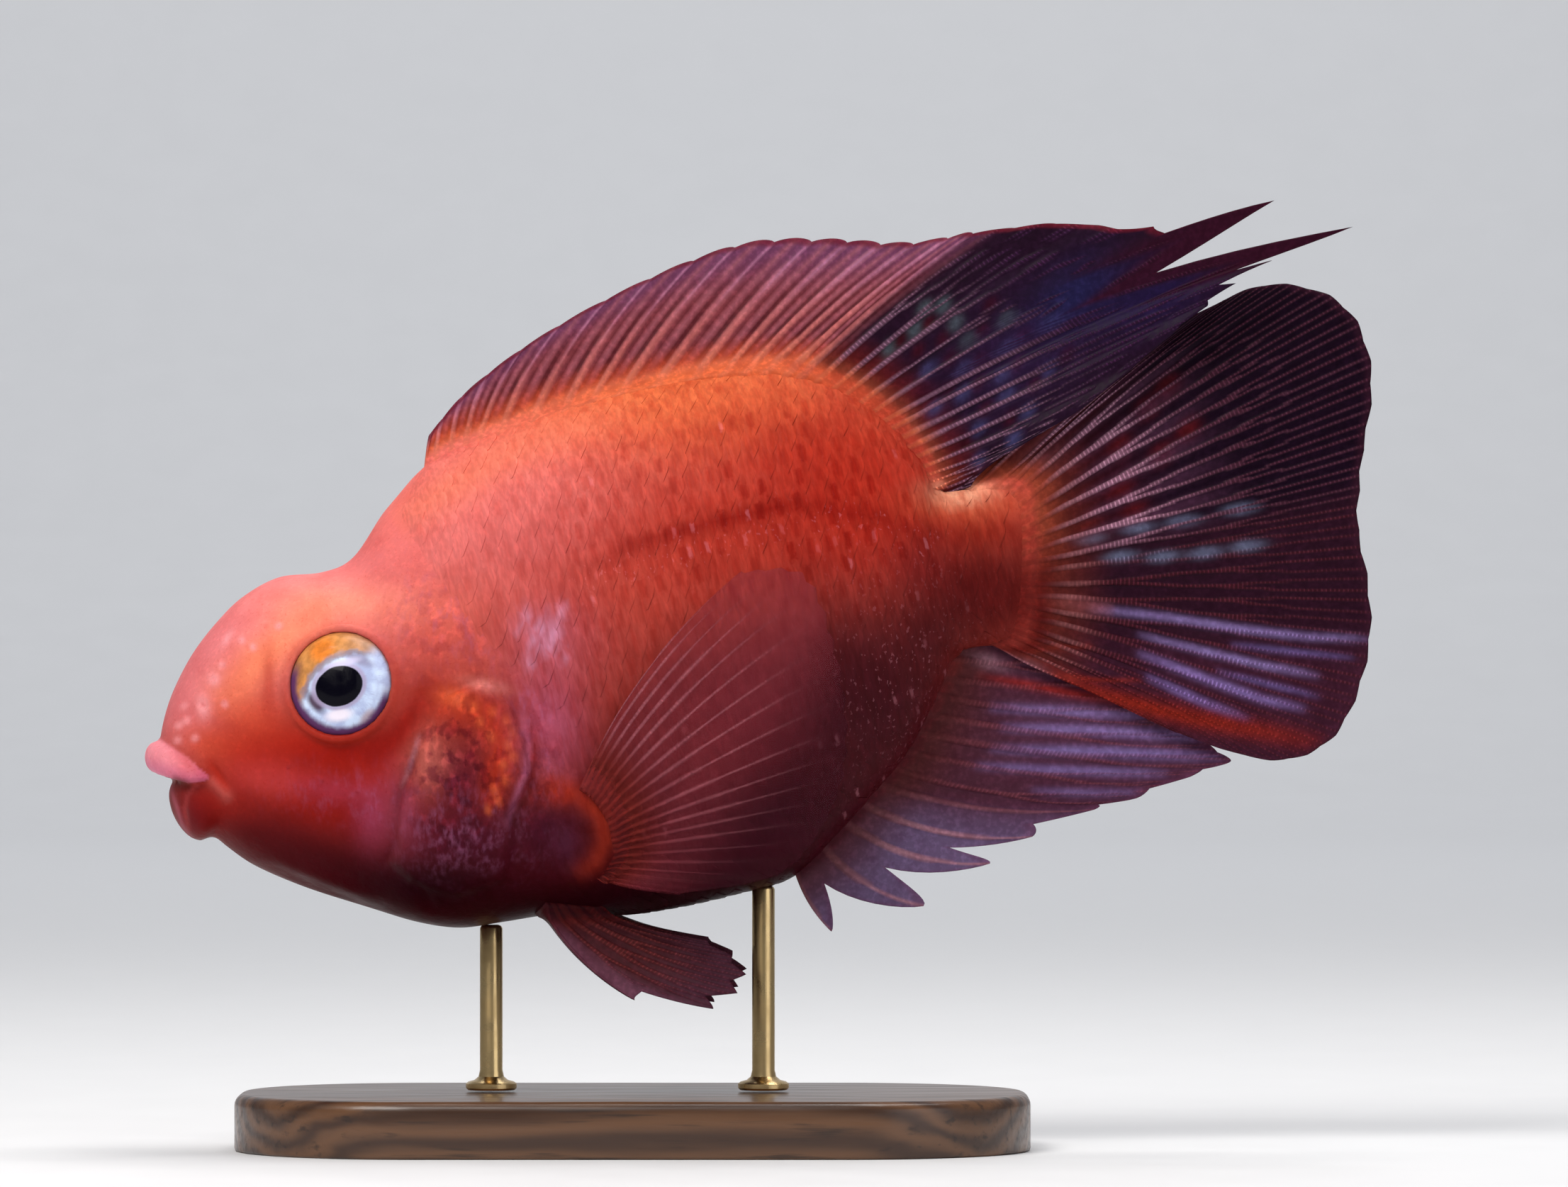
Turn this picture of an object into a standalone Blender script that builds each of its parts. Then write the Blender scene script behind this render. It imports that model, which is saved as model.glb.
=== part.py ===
"""Blood parrot cichlid: a still, life-size model of the fish, nose down, on a plain stand.

The fish faces -X, its left side faces -Y and +Z is up. Sizes are in millimetres until
finish_node, which bends the fish's midline and turns each mesh into metres.
"""

import math

import bmesh
import bpy
from mathutils import Matrix, Vector
from mathutils.bvhtree import BVHTree

MM = 0.001
GAP = 0.3

# The flesh of the fish is one loft. Each station is a section through the body:
# (back x, back z, belly x, belly z, half width, level of the widest point, crown, keel).
# The level is a share of the section's height; crown and keel say how square its halves are.
STATIONS = [
    (-84.0, 54.8, -84.0, 54.8, 0.0, 0.50, 2.0, 2.0),
    (-84.4, 57.6, -83.0, 52.2, 3.9, 0.50, 2.0, 2.0),
    (-83.7, 61.4, -81.2, 47.8, 6.1, 0.50, 2.0, 2.0),
    (-82.3, 65.3, -79.4, 44.8, 7.7, 0.50, 2.1, 2.0),
    (-79.8, 70.0, -77.6, 43.6, 9.3, 0.50, 2.1, 2.0),
    (-76.5, 74.3, -75.0, 43.4, 11.0, 0.50, 2.2, 2.0),
    (-72.8, 77.9, -71.0, 39.9, 12.9, 0.50, 2.2, 2.0),
    (-67.8, 80.6, -64.0, 36.9, 15.0, 0.49, 2.2, 2.1),
    (-61.8, 81.3, -55.3, 34.1, 17.0, 0.47, 2.2, 2.1),
    (-57.4, 83.4, -48.3, 32.0, 18.4, 0.45, 2.1, 2.2),
    (-52.8, 90.2, -42.3, 31.2, 19.4, 0.43, 1.95, 2.2),
    (-47.3, 96.5, -36.3, 32.0, 20.0, 0.42, 1.85, 2.2),
    (-39.3, 100.4, -29.3, 33.0, 20.1, 0.42, 1.75, 2.2),
    (-29.3, 104.1, -21.3, 32.8, 19.8, 0.42, 1.75, 2.2),
    (-18.3, 107.3, -12.3, 33.9, 19.0, 0.42, 1.7, 2.1),
    (-7.3, 109.5, -2.3, 36.2, 17.7, 0.43, 1.65, 2.0),
    (2.7, 110.3, 4.7, 38.5, 15.9, 0.44, 1.6, 1.9),
    (11.7, 108.0, 10.7, 44.2, 13.6, 0.46, 1.65, 1.9),
    (18.2, 103.2, 15.9, 50.0, 11.4, 0.48, 1.75, 1.9),
    (22.5, 97.7, 20.7, 55.8, 9.3, 0.50, 2.0, 2.0),
    (24.9, 93.3, 24.5, 63.0, 7.4, 0.50, 2.0, 2.0),
    (27.7, 93.0, 27.5, 69.2, 5.9, 0.50, 2.0, 2.0),
    (31.2, 93.2, 31.2, 70.9, 4.7, 0.50, 2.0, 2.0),
    (34.7, 93.6, 34.7, 71.2, 3.6, 0.50, 2.0, 2.0),
    (37.3, 92.0, 36.9, 73.0, 1.9, 0.50, 2.0, 2.0),
    (37.9, 82.5, 37.9, 82.5, 0.0, 0.50, 2.0, 2.0),
]
BODY_RINGS = 52
BODY_SIDES = 28

# Where the flesh is parted, as lines across the side view, each (x, z).
NAPE_TO_THROAT = [
    (-62.0, 96.0), (-54.6, 85.5), (-48.8, 78.0), (-42.3, 70.0), (-36.8, 63.5),
    (-34.0, 58.0), (-33.1, 53.5), (-34.6, 49.0), (-36.0, 45.5), (-35.2, 40.0), (-34.0, 25.0),
]
STALK_FRONT = [(24.0, 104.0), (25.4, 93.0), (27.4, 82.0), (27.8, 69.0), (25.0, 58.0)]
MOUTH_TO_CHIN = [(-92.0, 51.7), (-77.6, 51.5), (-75.3, 49.2), (-75.9, 43.0), (-77.5, 36.0)]

# Head
EYE_PLACE = (-60.2, 65.8)
EYE_RADIUS = 7.6
EYE_BULGE = 5.6
EYE_SINK = 3.2
ORBIT_RADIUS = 8.1
ORBIT_THICK = 0.85
ORBIT_SINK = 0.5
ORBIT_AROUND = 22
ORBIT_ACROSS = 6
EYE_SIDES = 20
EYE_RINGS = 10
NOSTRIL_PLACE = (-77.2, 65.0)
NOSTRIL_RADIUS = 0.55
NOSTRIL_DEPTH = 1.6
NOSTRIL_FLARE = 1.4
NOSTRIL_SIDES = 12
UPPER_LIP_FRONT = (-85.0, 55.3)
UPPER_LIP_CORNER = (-77.6, 9.7, 52.4)
UPPER_LIP_THICK = (1.6, 2.45, 0.8)
UPPER_LIP_LEAN = 0.0
LOWER_LIP_FRONT = (-81.1, 48.0)
LOWER_LIP_CORNER = (-78.2, 9.2, 50.9)
LOWER_LIP_THICK = (1.3, 4.1, 0.7)
LOWER_LIP_LEAN = 21.0
LIP_RINGS = 20
LIP_SIDES = 8
LIP_FRONT_CURVE = 1.5
LIP_FULLNESS = 1.4
LIP_END_TAPER = 6.0
GAPE_CENTRE = (-84.4, 0.0, 51.6)
GAPE_RADII = (4.6, 5.4, 1.6)

# Gill covers: the outline of the flap across the side view, and how it stands off the flesh
GILL_OUTLINE = [
    (-47.6, 58.8), (-44.2, 64.6), (-39.4, 65.6), (-35.4, 62.6), (-33.6, 57.6),
    (-33.0, 53.4), (-34.2, 49.4), (-36.0, 46.4), (-35.2, 42.4), (-36.4, 36.8),
    (-43.2, 34.8), (-49.4, 36.8), (-52.8, 40.0), (-52.4, 47.2), (-50.4, 52.6),
]
GILL_PROUD = 0.7
GILL_THICK = 1.7
GILL_INNER_REACH = 2.0
GILL_OUTER_REACH = 40.0

# Fins. A guide ray is (root x, root z, tip x, tip z, side drift at the tip, bow), and the
# rays between two guides are spread evenly. Bow is the share of a ray's length by which it arches.
DORSAL_GUIDES = [
    (-46.2, 94.6, -46.4, 100.4, 0.0, 0.04),
    (-42.9, 96.2, -41.2, 106.9, 0.2, 0.06),
    (-38.6, 98.2, -30.8, 114.6, 0.5, 0.06),
    (-29.0, 101.8, -16.4, 122.3, 0.9, 0.05),
    (-20.4, 104.2, -2.8, 127.3, 0.9, 0.035),
    (-9.0, 106.4, 9.4, 127.9, 0.3, 0.03),
    (-2.0, 107.2, 20.2, 127.4, -0.6, 0.03),
    (3.6, 106.6, 29.9, 129.0, -1.6, 0.03),
]
DORSAL_SOFT_GUIDES = [
    (6.6, 103.6, 41.6, 130.4, -2.0, 0.03),
    (8.2, 103.0, 47.4, 130.2, -2.5, 0.03),
    (10.0, 102.0, 55.2, 130.0, -3.0, 0.03),
    (11.6, 101.0, 72.2, 133.7, -3.4, 0.03),
    (13.0, 100.0, 83.2, 130.0, -3.8, 0.035),
    (14.2, 99.0, 71.7, 125.2, -4.0, 0.025),
    (15.2, 97.8, 66.7, 122.0, -4.1, 0.01),
    (16.2, 96.6, 62.7, 118.8, -4.1, 0.0),
    (17.1, 95.4, 57.6, 114.6, -4.0, -0.01),
    (17.8, 94.2, 51.7, 109.5, -3.7, -0.02),
    (18.4, 93.2, 44.7, 104.0, -3.2, -0.02),
    (18.9, 92.2, 37.7, 99.8, -2.4, -0.02),
    (19.4, 91.2, 31.2, 96.5, -1.6, -0.02),
]
CAUDAL_GUIDES = [
    (32.2, 91.6, 47.0, 105.2, 1.0, 0.02),
    (33.2, 91.0, 61.2, 117.4, 2.2, 0.03),
    (34.2, 89.6, 72.6, 122.2, 3.0, 0.03),
    (35.0, 87.8, 83.0, 119.2, 3.0, 0.02),
    (35.6, 85.6, 86.9, 109.6, 2.2, 0.01),
    (35.9, 83.2, 85.4, 98.0, 1.0, 0.0),
    (35.9, 80.8, 84.6, 87.8, 0.0, 0.0),
    (35.7, 78.4, 86.3, 76.6, -0.8, 0.0),
    (35.2, 76.2, 84.8, 65.6, -1.4, 0.0),
    (34.4, 74.4, 79.8, 57.0, -1.4, 0.01),
    (33.4, 73.4, 70.8, 54.8, -1.0, 0.02),
    (32.4, 73.0, 56.0, 62.4, -0.4, 0.02),
]
ANAL_GUIDES = [
    (4.2, 41.4, 10.0, 30.6, 0.0, -0.08),
    (7.4, 44.6, 23.0, 34.2, 0.3, -0.10),
    (10.2, 47.4, 32.4, 40.2, 0.6, -0.10),
    (12.4, 49.8, 38.4, 44.0, 0.8, -0.08),
    (14.4, 52.2, 47.2, 47.8, 1.0, -0.06),
    (16.4, 54.4, 53.2, 49.4, 1.2, -0.05),
    (18.2, 56.6, 60.8, 52.4, 1.4, -0.04),
    (19.9, 59.2, 66.6, 54.6, 1.6, -0.03),
    (21.2, 61.8, 62.4, 56.4, 1.6, -0.03),
    (22.4, 64.4, 55.8, 59.4, 1.4, -0.03),
    (23.4, 66.8, 49.2, 62.4, 1.0, -0.02),
    (24.2, 68.8, 42.4, 65.4, 0.6, -0.02),
    (25.2, 70.4, 36.6, 67.6, 0.2, -0.02),
]
# The paired fins' guides are (root x, root z, tip x, tip z, tip's distance from the midline, bow).
PECTORAL_GUIDES = [
    (-25.6, 50.6, -2.6, 81.4, 23.4, 0.06),
    (-24.0, 49.0, 6.2, 81.0, 24.4, 0.05),
    (-22.6, 47.0, 10.6, 70.6, 25.2, 0.03),
    (-21.8, 44.8, 12.2, 58.0, 25.4, 0.01),
    (-21.8, 42.6, 9.8, 48.0, 24.8, 0.0),
    (-22.6, 40.4, 2.8, 39.4, 23.4, -0.01),
    (-24.2, 38.6, -11.2, 36.6, 20.4, -0.02),
]
PELVIC_GUIDES = [
    (-31.2, 34.4, -17.6, 21.4, 11.6, -0.07, 6.8),
    (-30.6, 34.6, -6.6, 20.2, 12.6, -0.07, 6.4),
    (-30.0, 34.8, -3.2, 22.4, 12.2, -0.06, 6.0),
    (-29.4, 35.0, -2.0, 25.0, 11.2, -0.05, 5.6),
    (-28.8, 35.2, -4.0, 27.6, 9.8, -0.04, 5.2),
    (-28.2, 35.4, -7.4, 29.6, 8.4, -0.03, 4.8),
]
DORSAL_SPINES = 17
DORSAL_ROWS = 9
SPINE_WEB = 0.95
DORSAL_SOFT_WEBS = [0.97, 0.97, 0.90, 0.74, 0.82, 0.93, 0.96, 0.97, 0.97, 0.97, 0.97, 0.97]
CAUDAL_RAYS = 17
CAUDAL_ROWS = 8
CAUDAL_WEB = 0.985
ANAL_ROWS = 7
ANAL_SPINES = 6
ANAL_WEBS = [0.45, 0.5, 0.72, 0.9, 0.93, 0.95, 0.96, 0.97, 0.97, 0.97, 0.97, 0.97]
PECTORAL_RAYS = 13
PECTORAL_ROWS = 7
PECTORAL_WEB = 0.98
PECTORAL_SUNK = 1.6
PECTORAL_CLEAR = 0.9
PECTORAL_SPREAD = 2.0
PECTORAL_ROOT_SHARE = 0.12
PELVIC_ROWS = 6
PELVIC_SPINES = 1
PELVIC_WEBS = [0.8, 0.88, 0.93, 0.95, 0.95]
MEMBRANE = 0.55
MEMBRANE_ROOT = 1.1
RAY_ROOT = 1.1
RAY_TIP = 0.55
FIN_EDGE = 0.4

# The midline bends towards -Y over the head and towards +Y over the tail.
HEAD_BEND_FROM = -20.0
HEAD_BEND = 0.0020
TAIL_BEND_FROM = 18.0
TAIL_BEND = 0.0014

# Stand
BASE_CENTRE_X = -18.0
BASE_LENGTH = 112.0
BASE_WIDTH = 60.0
BASE_THICK = 8.0
BASE_BEVEL = 1.6
BASE_CORNER = 26.0
BASE_CORNER_STEPS = 8
BASE_BEVEL_STEPS = 3
ROD_PLACES = {"stand_rod_front": -38.0, "stand_rod_rear": 0.4}
ROD_RADIUS = 1.6
ROD_SIDES = 20
ROD_TOP = 60.0
COLLAR_RADIUS = 3.6
COLLAR_THICK = 1.4
COLLAR_CHAMFER = 0.6

SMOOTH_UP_TO = 40.0


def clear_scene():
    """Removes every object that the file starts with."""
    for old in list(bpy.data.objects):
        bpy.data.objects.remove(old)


def material(name, colour, roughness, metallic=0.0):
    """A Principled material of one colour."""
    made = bpy.data.materials.new(name)
    made.use_nodes = True
    shader = made.node_tree.nodes["Principled BSDF"]
    shader.inputs["Base Color"].default_value = (*colour, 1.0)
    shader.inputs["Roughness"].default_value = roughness
    shader.inputs["Metallic"].default_value = metallic
    return made


def face_outwards(bm):
    """Turns every face of a closed bmesh outwards."""
    bmesh.ops.recalc_face_normals(bm, faces=bm.faces)
    if bm.calc_volume(signed=True) < 0:
        bmesh.ops.reverse_faces(bm, faces=bm.faces)


def object_from(bm, name):
    """A new object in the scene that holds this bmesh."""
    mesh = bpy.data.meshes.new(name)
    bm.to_mesh(mesh)
    bm.free()
    made = bpy.data.objects.new(name, mesh)
    bpy.context.scene.collection.objects.link(made)
    return made


def duplicate(obj, name):
    """A copy of the object with its own mesh."""
    copy = bpy.data.objects.new(name, obj.data.copy())
    bpy.context.scene.collection.objects.link(copy)
    return copy


def discard(*objects):
    """Removes helpers that have done their work."""
    for obj in objects:
        bpy.data.objects.remove(obj)


def boolean(obj, operation, *others):
    """Joins, cuts or intersects obj with the others in one applied Boolean, and removes them."""
    pieces = bpy.data.collections.new("pieces")
    for other in others:
        pieces.objects.link(other)
    modifier = obj.modifiers.new(operation, "BOOLEAN")
    modifier.operation = operation
    modifier.solver = "EXACT"
    modifier.operand_type = "COLLECTION"
    modifier.collection = pieces
    bpy.context.view_layer.objects.active = obj
    bpy.ops.object.modifier_apply(modifier=modifier.name)
    bpy.data.collections.remove(pieces)
    discard(*others)


def closed_parts(obj):
    """The faces of each closed surface in the object's mesh, the largest first."""
    bm = bmesh.new()
    bm.from_mesh(obj.data)
    seen, parts = set(), []
    for start in bm.verts:
        if start.index in seen:
            continue
        seen.add(start.index)
        stack, part = [start], [start.index]
        while stack:
            for edge in stack.pop().link_edges:
                for vert in edge.verts:
                    if vert.index not in seen:
                        seen.add(vert.index)
                        stack.append(vert)
                        part.append(vert.index)
        parts.append(part)
    bm.free()
    return sorted(parts, key=len, reverse=True)


def keep_part(obj, part):
    """Leaves only these vertices, with their faces, in the object's mesh."""
    bm = bmesh.new()
    bm.from_mesh(obj.data)
    kept = set(part)
    away = [v for v in bm.verts if v.index not in kept]
    bmesh.ops.delete(bm, geom=away, context="VERTS")
    bm.to_mesh(obj.data)
    bm.free()


def keep_largest(obj):
    """Leaves only the largest closed surface, which drops scraps that a cut has made."""
    keep_part(obj, closed_parts(obj)[0])


def spline(rows, t):
    """A smooth curve through rows of numbers, read at t rows from the first."""
    at = min(max(int(math.floor(t)), 0), len(rows) - 2)
    f = t - at
    first = rows[max(at - 1, 0)]
    last = rows[min(at + 2, len(rows) - 1)]
    found = []
    for a, b, c, d in zip(first, rows[at], rows[at + 1], last):
        m0, m1 = (c - a) / 2, (d - b) / 2
        found.append(
            (2 * f**3 - 3 * f**2 + 1) * b + (f**3 - 2 * f**2 + f) * m0
            + (3 * f**2 - 2 * f**3) * c + (f**3 - f**2) * m1
        )
    return found


def section_point(share, angle):
    """The point of the flesh at this share of its length, at this angle round its section."""
    tx, tz, bx, bz, width, level, crown, keel = spline(STATIONS, share * (len(STATIONS) - 1))
    across, up = math.cos(angle), math.sin(angle)
    power = 2 / (crown if up > 0 else keel)
    y = math.copysign(abs(across) ** power, across) * max(width, 0)
    rise = math.copysign(abs(up) ** power, up)
    height = level + rise * ((1 - level) if up > 0 else level)
    return Vector((bx + (tx - bx) * height, y, bz + (tz - bz) * height))


def sphere_grid(rings, sides, place):
    """A sphere whose vertices are put at place(share from pole to pole, angle round)."""
    bm = bmesh.new()
    bmesh.ops.create_uvsphere(bm, u_segments=sides, v_segments=rings, radius=1.0)
    for vert in bm.verts:
        share = round(math.acos(max(-1.0, min(1.0, -vert.co.z))) / math.pi * rings) / rings
        vert.co = place(share, math.atan2(vert.co.y, vert.co.x))
    face_outwards(bm)
    bmesh.ops.triangulate(bm, faces=bm.faces)
    return bm


def flesh(name, proud=0.0):
    """The whole body as one solid, its surface moved outwards by proud."""
    bm = sphere_grid(BODY_RINGS, BODY_SIDES, section_point)
    bm.normal_update()
    moved = [(v, v.co + v.normal * proud) for v in bm.verts]
    for vert, place in moved:
        vert.co = place
    return object_from(bm, name)


def prism(name, outline, y_from, y_to):
    """A solid with this outline in the side view, from y_from to y_to."""
    bm = bmesh.new()
    face = bm.faces.new([bm.verts.new((x, y_from, z)) for x, z in outline])
    made = bmesh.ops.extrude_face_region(bm, geom=[face])
    moved = [v for v in made["geom"] if isinstance(v, bmesh.types.BMVert)]
    bmesh.ops.translate(bm, verts=moved, vec=(0, y_to - y_from, 0))
    face_outwards(bm)
    bmesh.ops.triangulate(bm, faces=bm.faces)
    return object_from(bm, name)


def widened(line, distance):
    """The line of (x, z) points, moved sideways by distance at each point."""
    points = [Vector(p) for p in line]
    moved = []
    for i, point in enumerate(points):
        along = (points[min(i + 1, len(points) - 1)] - points[max(i - 1, 0)]).normalized()
        moved.append(point + Vector((along.y, -along.x)) * distance)
    return [tuple(p) for p in moved]


def curtain(name, line):
    """A thin wall that stands across the fish along this line of the side view."""
    left, right = widened(line, GAP / 2), widened(line, -GAP / 2)
    return prism(name, left + right[::-1], -GILL_OUTER_REACH, GILL_OUTER_REACH)


def ring_outline(points, distance):
    """A closed outline moved outwards by distance, and rounded by a spline."""
    looped = points[-2:] + points + points[:3]
    steps = 2
    smooth = []
    for i in range(len(points) * steps):
        smooth.append(spline(looped, 2 + i / steps))
    middle = Vector((sum(x for x, _ in smooth), sum(z for _, z in smooth))) / len(smooth)
    moved = []
    for i, point in enumerate(smooth):
        before, after = Vector(smooth[i - 1]), Vector(smooth[(i + 1) % len(smooth)])
        along = (after - before).normalized()
        out = Vector((along.y, -along.x))
        if out.dot(Vector(point) - middle) < 0:
            out.negate()
        moved.append(tuple(Vector(point) + out * distance))
    return moved


def gill_cover(name, side):
    """The flap over the gills, a shell over the cheek: (flap, cutter of its recess)."""
    near, far = GILL_INNER_REACH * side, GILL_OUTER_REACH * side
    flap = prism(name, ring_outline(GILL_OUTLINE, 0.0), near, far)
    boolean(flap, "INTERSECT", flesh("outer", GILL_PROUD))
    boolean(flap, "DIFFERENCE", flesh("inner", GILL_PROUD - GILL_THICK))
    keep_largest(flap)
    recess = prism(name + "_recess", ring_outline(GILL_OUTLINE, GAP), near, far)
    boolean(recess, "DIFFERENCE", flesh("bed", GILL_PROUD - GILL_THICK - GAP))
    return flap, recess


def flank(tree, x, z):
    """How far from the midline the flesh reaches at this place of the side view."""
    hit = tree.ray_cast(Vector((x, -90.0, z)), Vector((0, 1, 0)))[0]
    return abs(hit.y) if hit else 0.0


def tree_of(obj):
    """A search tree over the object's mesh."""
    bm = bmesh.new()
    bm.from_mesh(obj.data)
    found = BVHTree.FromBMesh(bm)
    bm.free()
    return found


def outward(tree, x, z, side):
    """(point, normal) of the flesh at this place of the side view, on one side."""
    place, normal, _, _ = tree.ray_cast(Vector((x, 90.0 * side, z)), Vector((0, -side, 0)))
    return place, normal


def aligned(place, normal):
    """A matrix that puts local Z along the normal, at place."""
    turn = normal.to_track_quat("Z", "Y").to_matrix().to_4x4()
    return Matrix.Translation(place) @ turn


def eyeball(name, place, normal, grow=0.0):
    """A flattened ball, sunk in the head."""
    bm = bmesh.new()
    bmesh.ops.create_uvsphere(bm, u_segments=EYE_SIDES, v_segments=EYE_RINGS, radius=1.0)
    wide, deep = EYE_RADIUS + grow, EYE_BULGE + grow
    bmesh.ops.scale(bm, verts=bm.verts, vec=(wide, wide, deep))
    bmesh.ops.transform(bm, verts=bm.verts, matrix=aligned(place - normal * EYE_SINK, normal))
    bmesh.ops.triangulate(bm, faces=bm.faces)
    return object_from(bm, name)


def orbit_rim(place, normal):
    """The fleshy rim round an eye."""
    bm = bmesh.new()
    rings = []
    for i in range(ORBIT_AROUND):
        a = 2 * math.pi * i / ORBIT_AROUND
        loop = []
        for j in range(ORBIT_ACROSS):
            b = 2 * math.pi * j / ORBIT_ACROSS
            reach = ORBIT_RADIUS + ORBIT_THICK * math.cos(b)
            loop.append(bm.verts.new((reach * math.cos(a), reach * math.sin(a), ORBIT_THICK * math.sin(b))))
        rings.append(loop)
    for i in range(ORBIT_AROUND):
        for j in range(ORBIT_ACROSS):
            k, m = (i + 1) % ORBIT_AROUND, (j + 1) % ORBIT_ACROSS
            bm.faces.new((rings[i][j], rings[k][j], rings[k][m], rings[i][m]))
    face_outwards(bm)
    bmesh.ops.transform(bm, verts=bm.verts, matrix=aligned(place - normal * ORBIT_SINK, normal))
    return object_from(bm, "orbit_rim")


def nostril_pit(place, normal):
    """The cutter of one nostril."""
    bm = bmesh.new()
    bmesh.ops.create_cone(
        bm, cap_ends=True, segments=NOSTRIL_SIDES, radius1=NOSTRIL_RADIUS,
        radius2=NOSTRIL_RADIUS * NOSTRIL_FLARE, depth=NOSTRIL_DEPTH * 2,
    )
    bmesh.ops.transform(bm, verts=bm.verts, matrix=aligned(place, normal))
    return object_from(bm, "nostril_pit")


def ellipsoid(name, centre, radii):
    """A ball with three radii."""
    bm = bmesh.new()
    bmesh.ops.create_uvsphere(bm, u_segments=20, v_segments=12, radius=1.0)
    bmesh.ops.scale(bm, verts=bm.verts, vec=radii)
    bmesh.ops.translate(bm, verts=bm.verts, vec=centre)
    bmesh.ops.triangulate(bm, faces=bm.faces)
    return object_from(bm, name)


def lip(name, front, corner, thick, lean):
    """A lip: a tapered roll bent round the mouth from one corner to the other."""
    front_x, front_z = front
    corner_x, corner_y, corner_z = corner
    reach, tall, end = thick
    up = Vector((-math.sin(math.radians(lean)), 0, math.cos(math.radians(lean))))

    def line(share):
        turn = math.pi * (share - 0.5)
        forward = math.cos(turn)
        return Vector((
            corner_x + (front_x - corner_x) * forward,
            corner_y * math.sin(turn),
            corner_z + (front_z - corner_z) * forward**LIP_FRONT_CURVE,
        ))

    def place(share, angle):
        share = 0.5 - math.cos(share * math.pi) / 2
        here = line(share)
        along = (line(min(share + 0.01, 1)) - line(max(share - 0.01, 0))).normalized()
        out = along.cross(up).normalized()
        fullness = max(0.0, math.cos(math.pi * (share - 0.5))) ** LIP_FULLNESS
        plump = end / tall + (1 - end / tall) * fullness
        taper = math.sqrt(min(1.0, LIP_END_TAPER * min(share, 1 - share)))
        return here + (out * math.cos(angle) * reach + up * math.sin(angle) * tall) * plump * taper

    return object_from(sphere_grid(LIP_RINGS, LIP_SIDES, place), name)


def bezier(root, tip, bow, v):
    """A point on an arched ray, at share v of its length, in three dimensions."""
    run = tip - root
    rise = Vector((-run.z, 0, run.x)) * bow * 2
    middle = (root + tip) / 2 + rise
    return root * (1 - v) ** 2 + middle * (2 * v * (1 - v)) + tip * v**2


def spread(guides, count):
    """count rays, evenly spread along the guides."""
    last = len(guides) - 1
    return [spline(guides, last * i / (count - 1)) for i in range(count)]


def fin_solid(name, rays, rows, webs, spine_count=0, lift=None):
    """A fin: a web between rays, each ray a ridge in the web's own surface.

    rays holds (root, tip, bow); webs says how far along the rays each web reaches.
    The first spine_count rays stay thick to near their tips. lift moves a point sideways.
    """
    columns = 2 * len(rays) - 1
    bm = bmesh.new()
    bmesh.ops.create_grid(bm, x_segments=columns - 1, y_segments=rows, size=1.0)
    bm.verts.ensure_lookup_table()
    grid = {}
    for vert in bm.verts:
        column = round((vert.co.x + 1) / 2 * (columns - 1))
        row = round((vert.co.y + 1) / 2 * rows)
        grid[column, row] = vert
    for (column, row), vert in grid.items():
        v = row / rows
        if column % 2 == 0:
            place = bezier(*rays[column // 2], v)
        else:
            reach = v * webs[column // 2]
            place = (bezier(*rays[column // 2], reach) + bezier(*rays[column // 2 + 1], reach)) / 2
        vert.co = lift(place, v) if lift else place
    bm.normal_update()
    thick = {}
    for (column, row), vert in grid.items():
        v = row / rows
        if column % 2:
            size = MEMBRANE_ROOT + (MEMBRANE - MEMBRANE_ROOT) * min(1, 4 * v)
        else:
            stout = 1.0 if column // 2 < spine_count else 1 - v
            size = RAY_TIP + (RAY_ROOT - RAY_TIP) * stout
        thick[vert] = min(size, FIN_EDGE) if row == rows else size
    sides = []
    for sign in (1, -1):
        sides.append({key: bm.verts.new(v.co + v.normal * sign * thick[v] / 2) for key, v in grid.items()})
    front, back = sides
    for column in range(columns - 1):
        for row in range(rows):
            a, b = (column, row), (column + 1, row)
            c, d = (column + 1, row + 1), (column, row + 1)
            for one, two, three in ((a, b, c), (a, c, d)):
                bm.faces.new((front[one], front[two], front[three]))
                bm.faces.new((back[three], back[two], back[one]))
    rim = [(c, 0) for c in range(columns)] + [(columns - 1, r) for r in range(1, rows + 1)]
    rim += [(c, rows) for c in range(columns - 2, -1, -1)] + [(0, r) for r in range(rows - 1, 0, -1)]
    for here, there in zip(rim, rim[1:] + rim[:1]):
        bm.faces.new((front[there], front[here], back[here]))
        bm.faces.new((front[there], back[here], back[there]))
    bmesh.ops.delete(bm, geom=list(grid.values()), context="VERTS")
    face_outwards(bm)
    return object_from(bm, name)


def midline_rays(guides):
    """(root, tip, bow) of rays that stand on the fish's midline."""
    return [
        (Vector((rx, 0, rz)), Vector((tx, drift, tz)), bow) for rx, rz, tx, tz, drift, bow in guides
    ]


def dorsal_fin():
    """The dorsal fin: spines in front, soft rays drawn out to filaments behind."""
    rays = midline_rays(spread(DORSAL_GUIDES, DORSAL_SPINES) + DORSAL_SOFT_GUIDES)
    webs = [SPINE_WEB] * DORSAL_SPINES + DORSAL_SOFT_WEBS
    return fin_solid("dorsal_fin", rays, DORSAL_ROWS, webs, DORSAL_SPINES)


def caudal_fin():
    """The tail fin, a fan of rays behind the tail stalk."""
    rays = midline_rays(spread(CAUDAL_GUIDES, CAUDAL_RAYS))
    return fin_solid("tail_fin", rays, CAUDAL_ROWS, [CAUDAL_WEB] * (len(rays) - 1))


def anal_fin():
    """The anal fin, whose first three spines stand free of each other for most of their length."""
    return fin_solid("anal_fin", midline_rays(ANAL_GUIDES), ANAL_ROWS, ANAL_WEBS, ANAL_SPINES)


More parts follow.
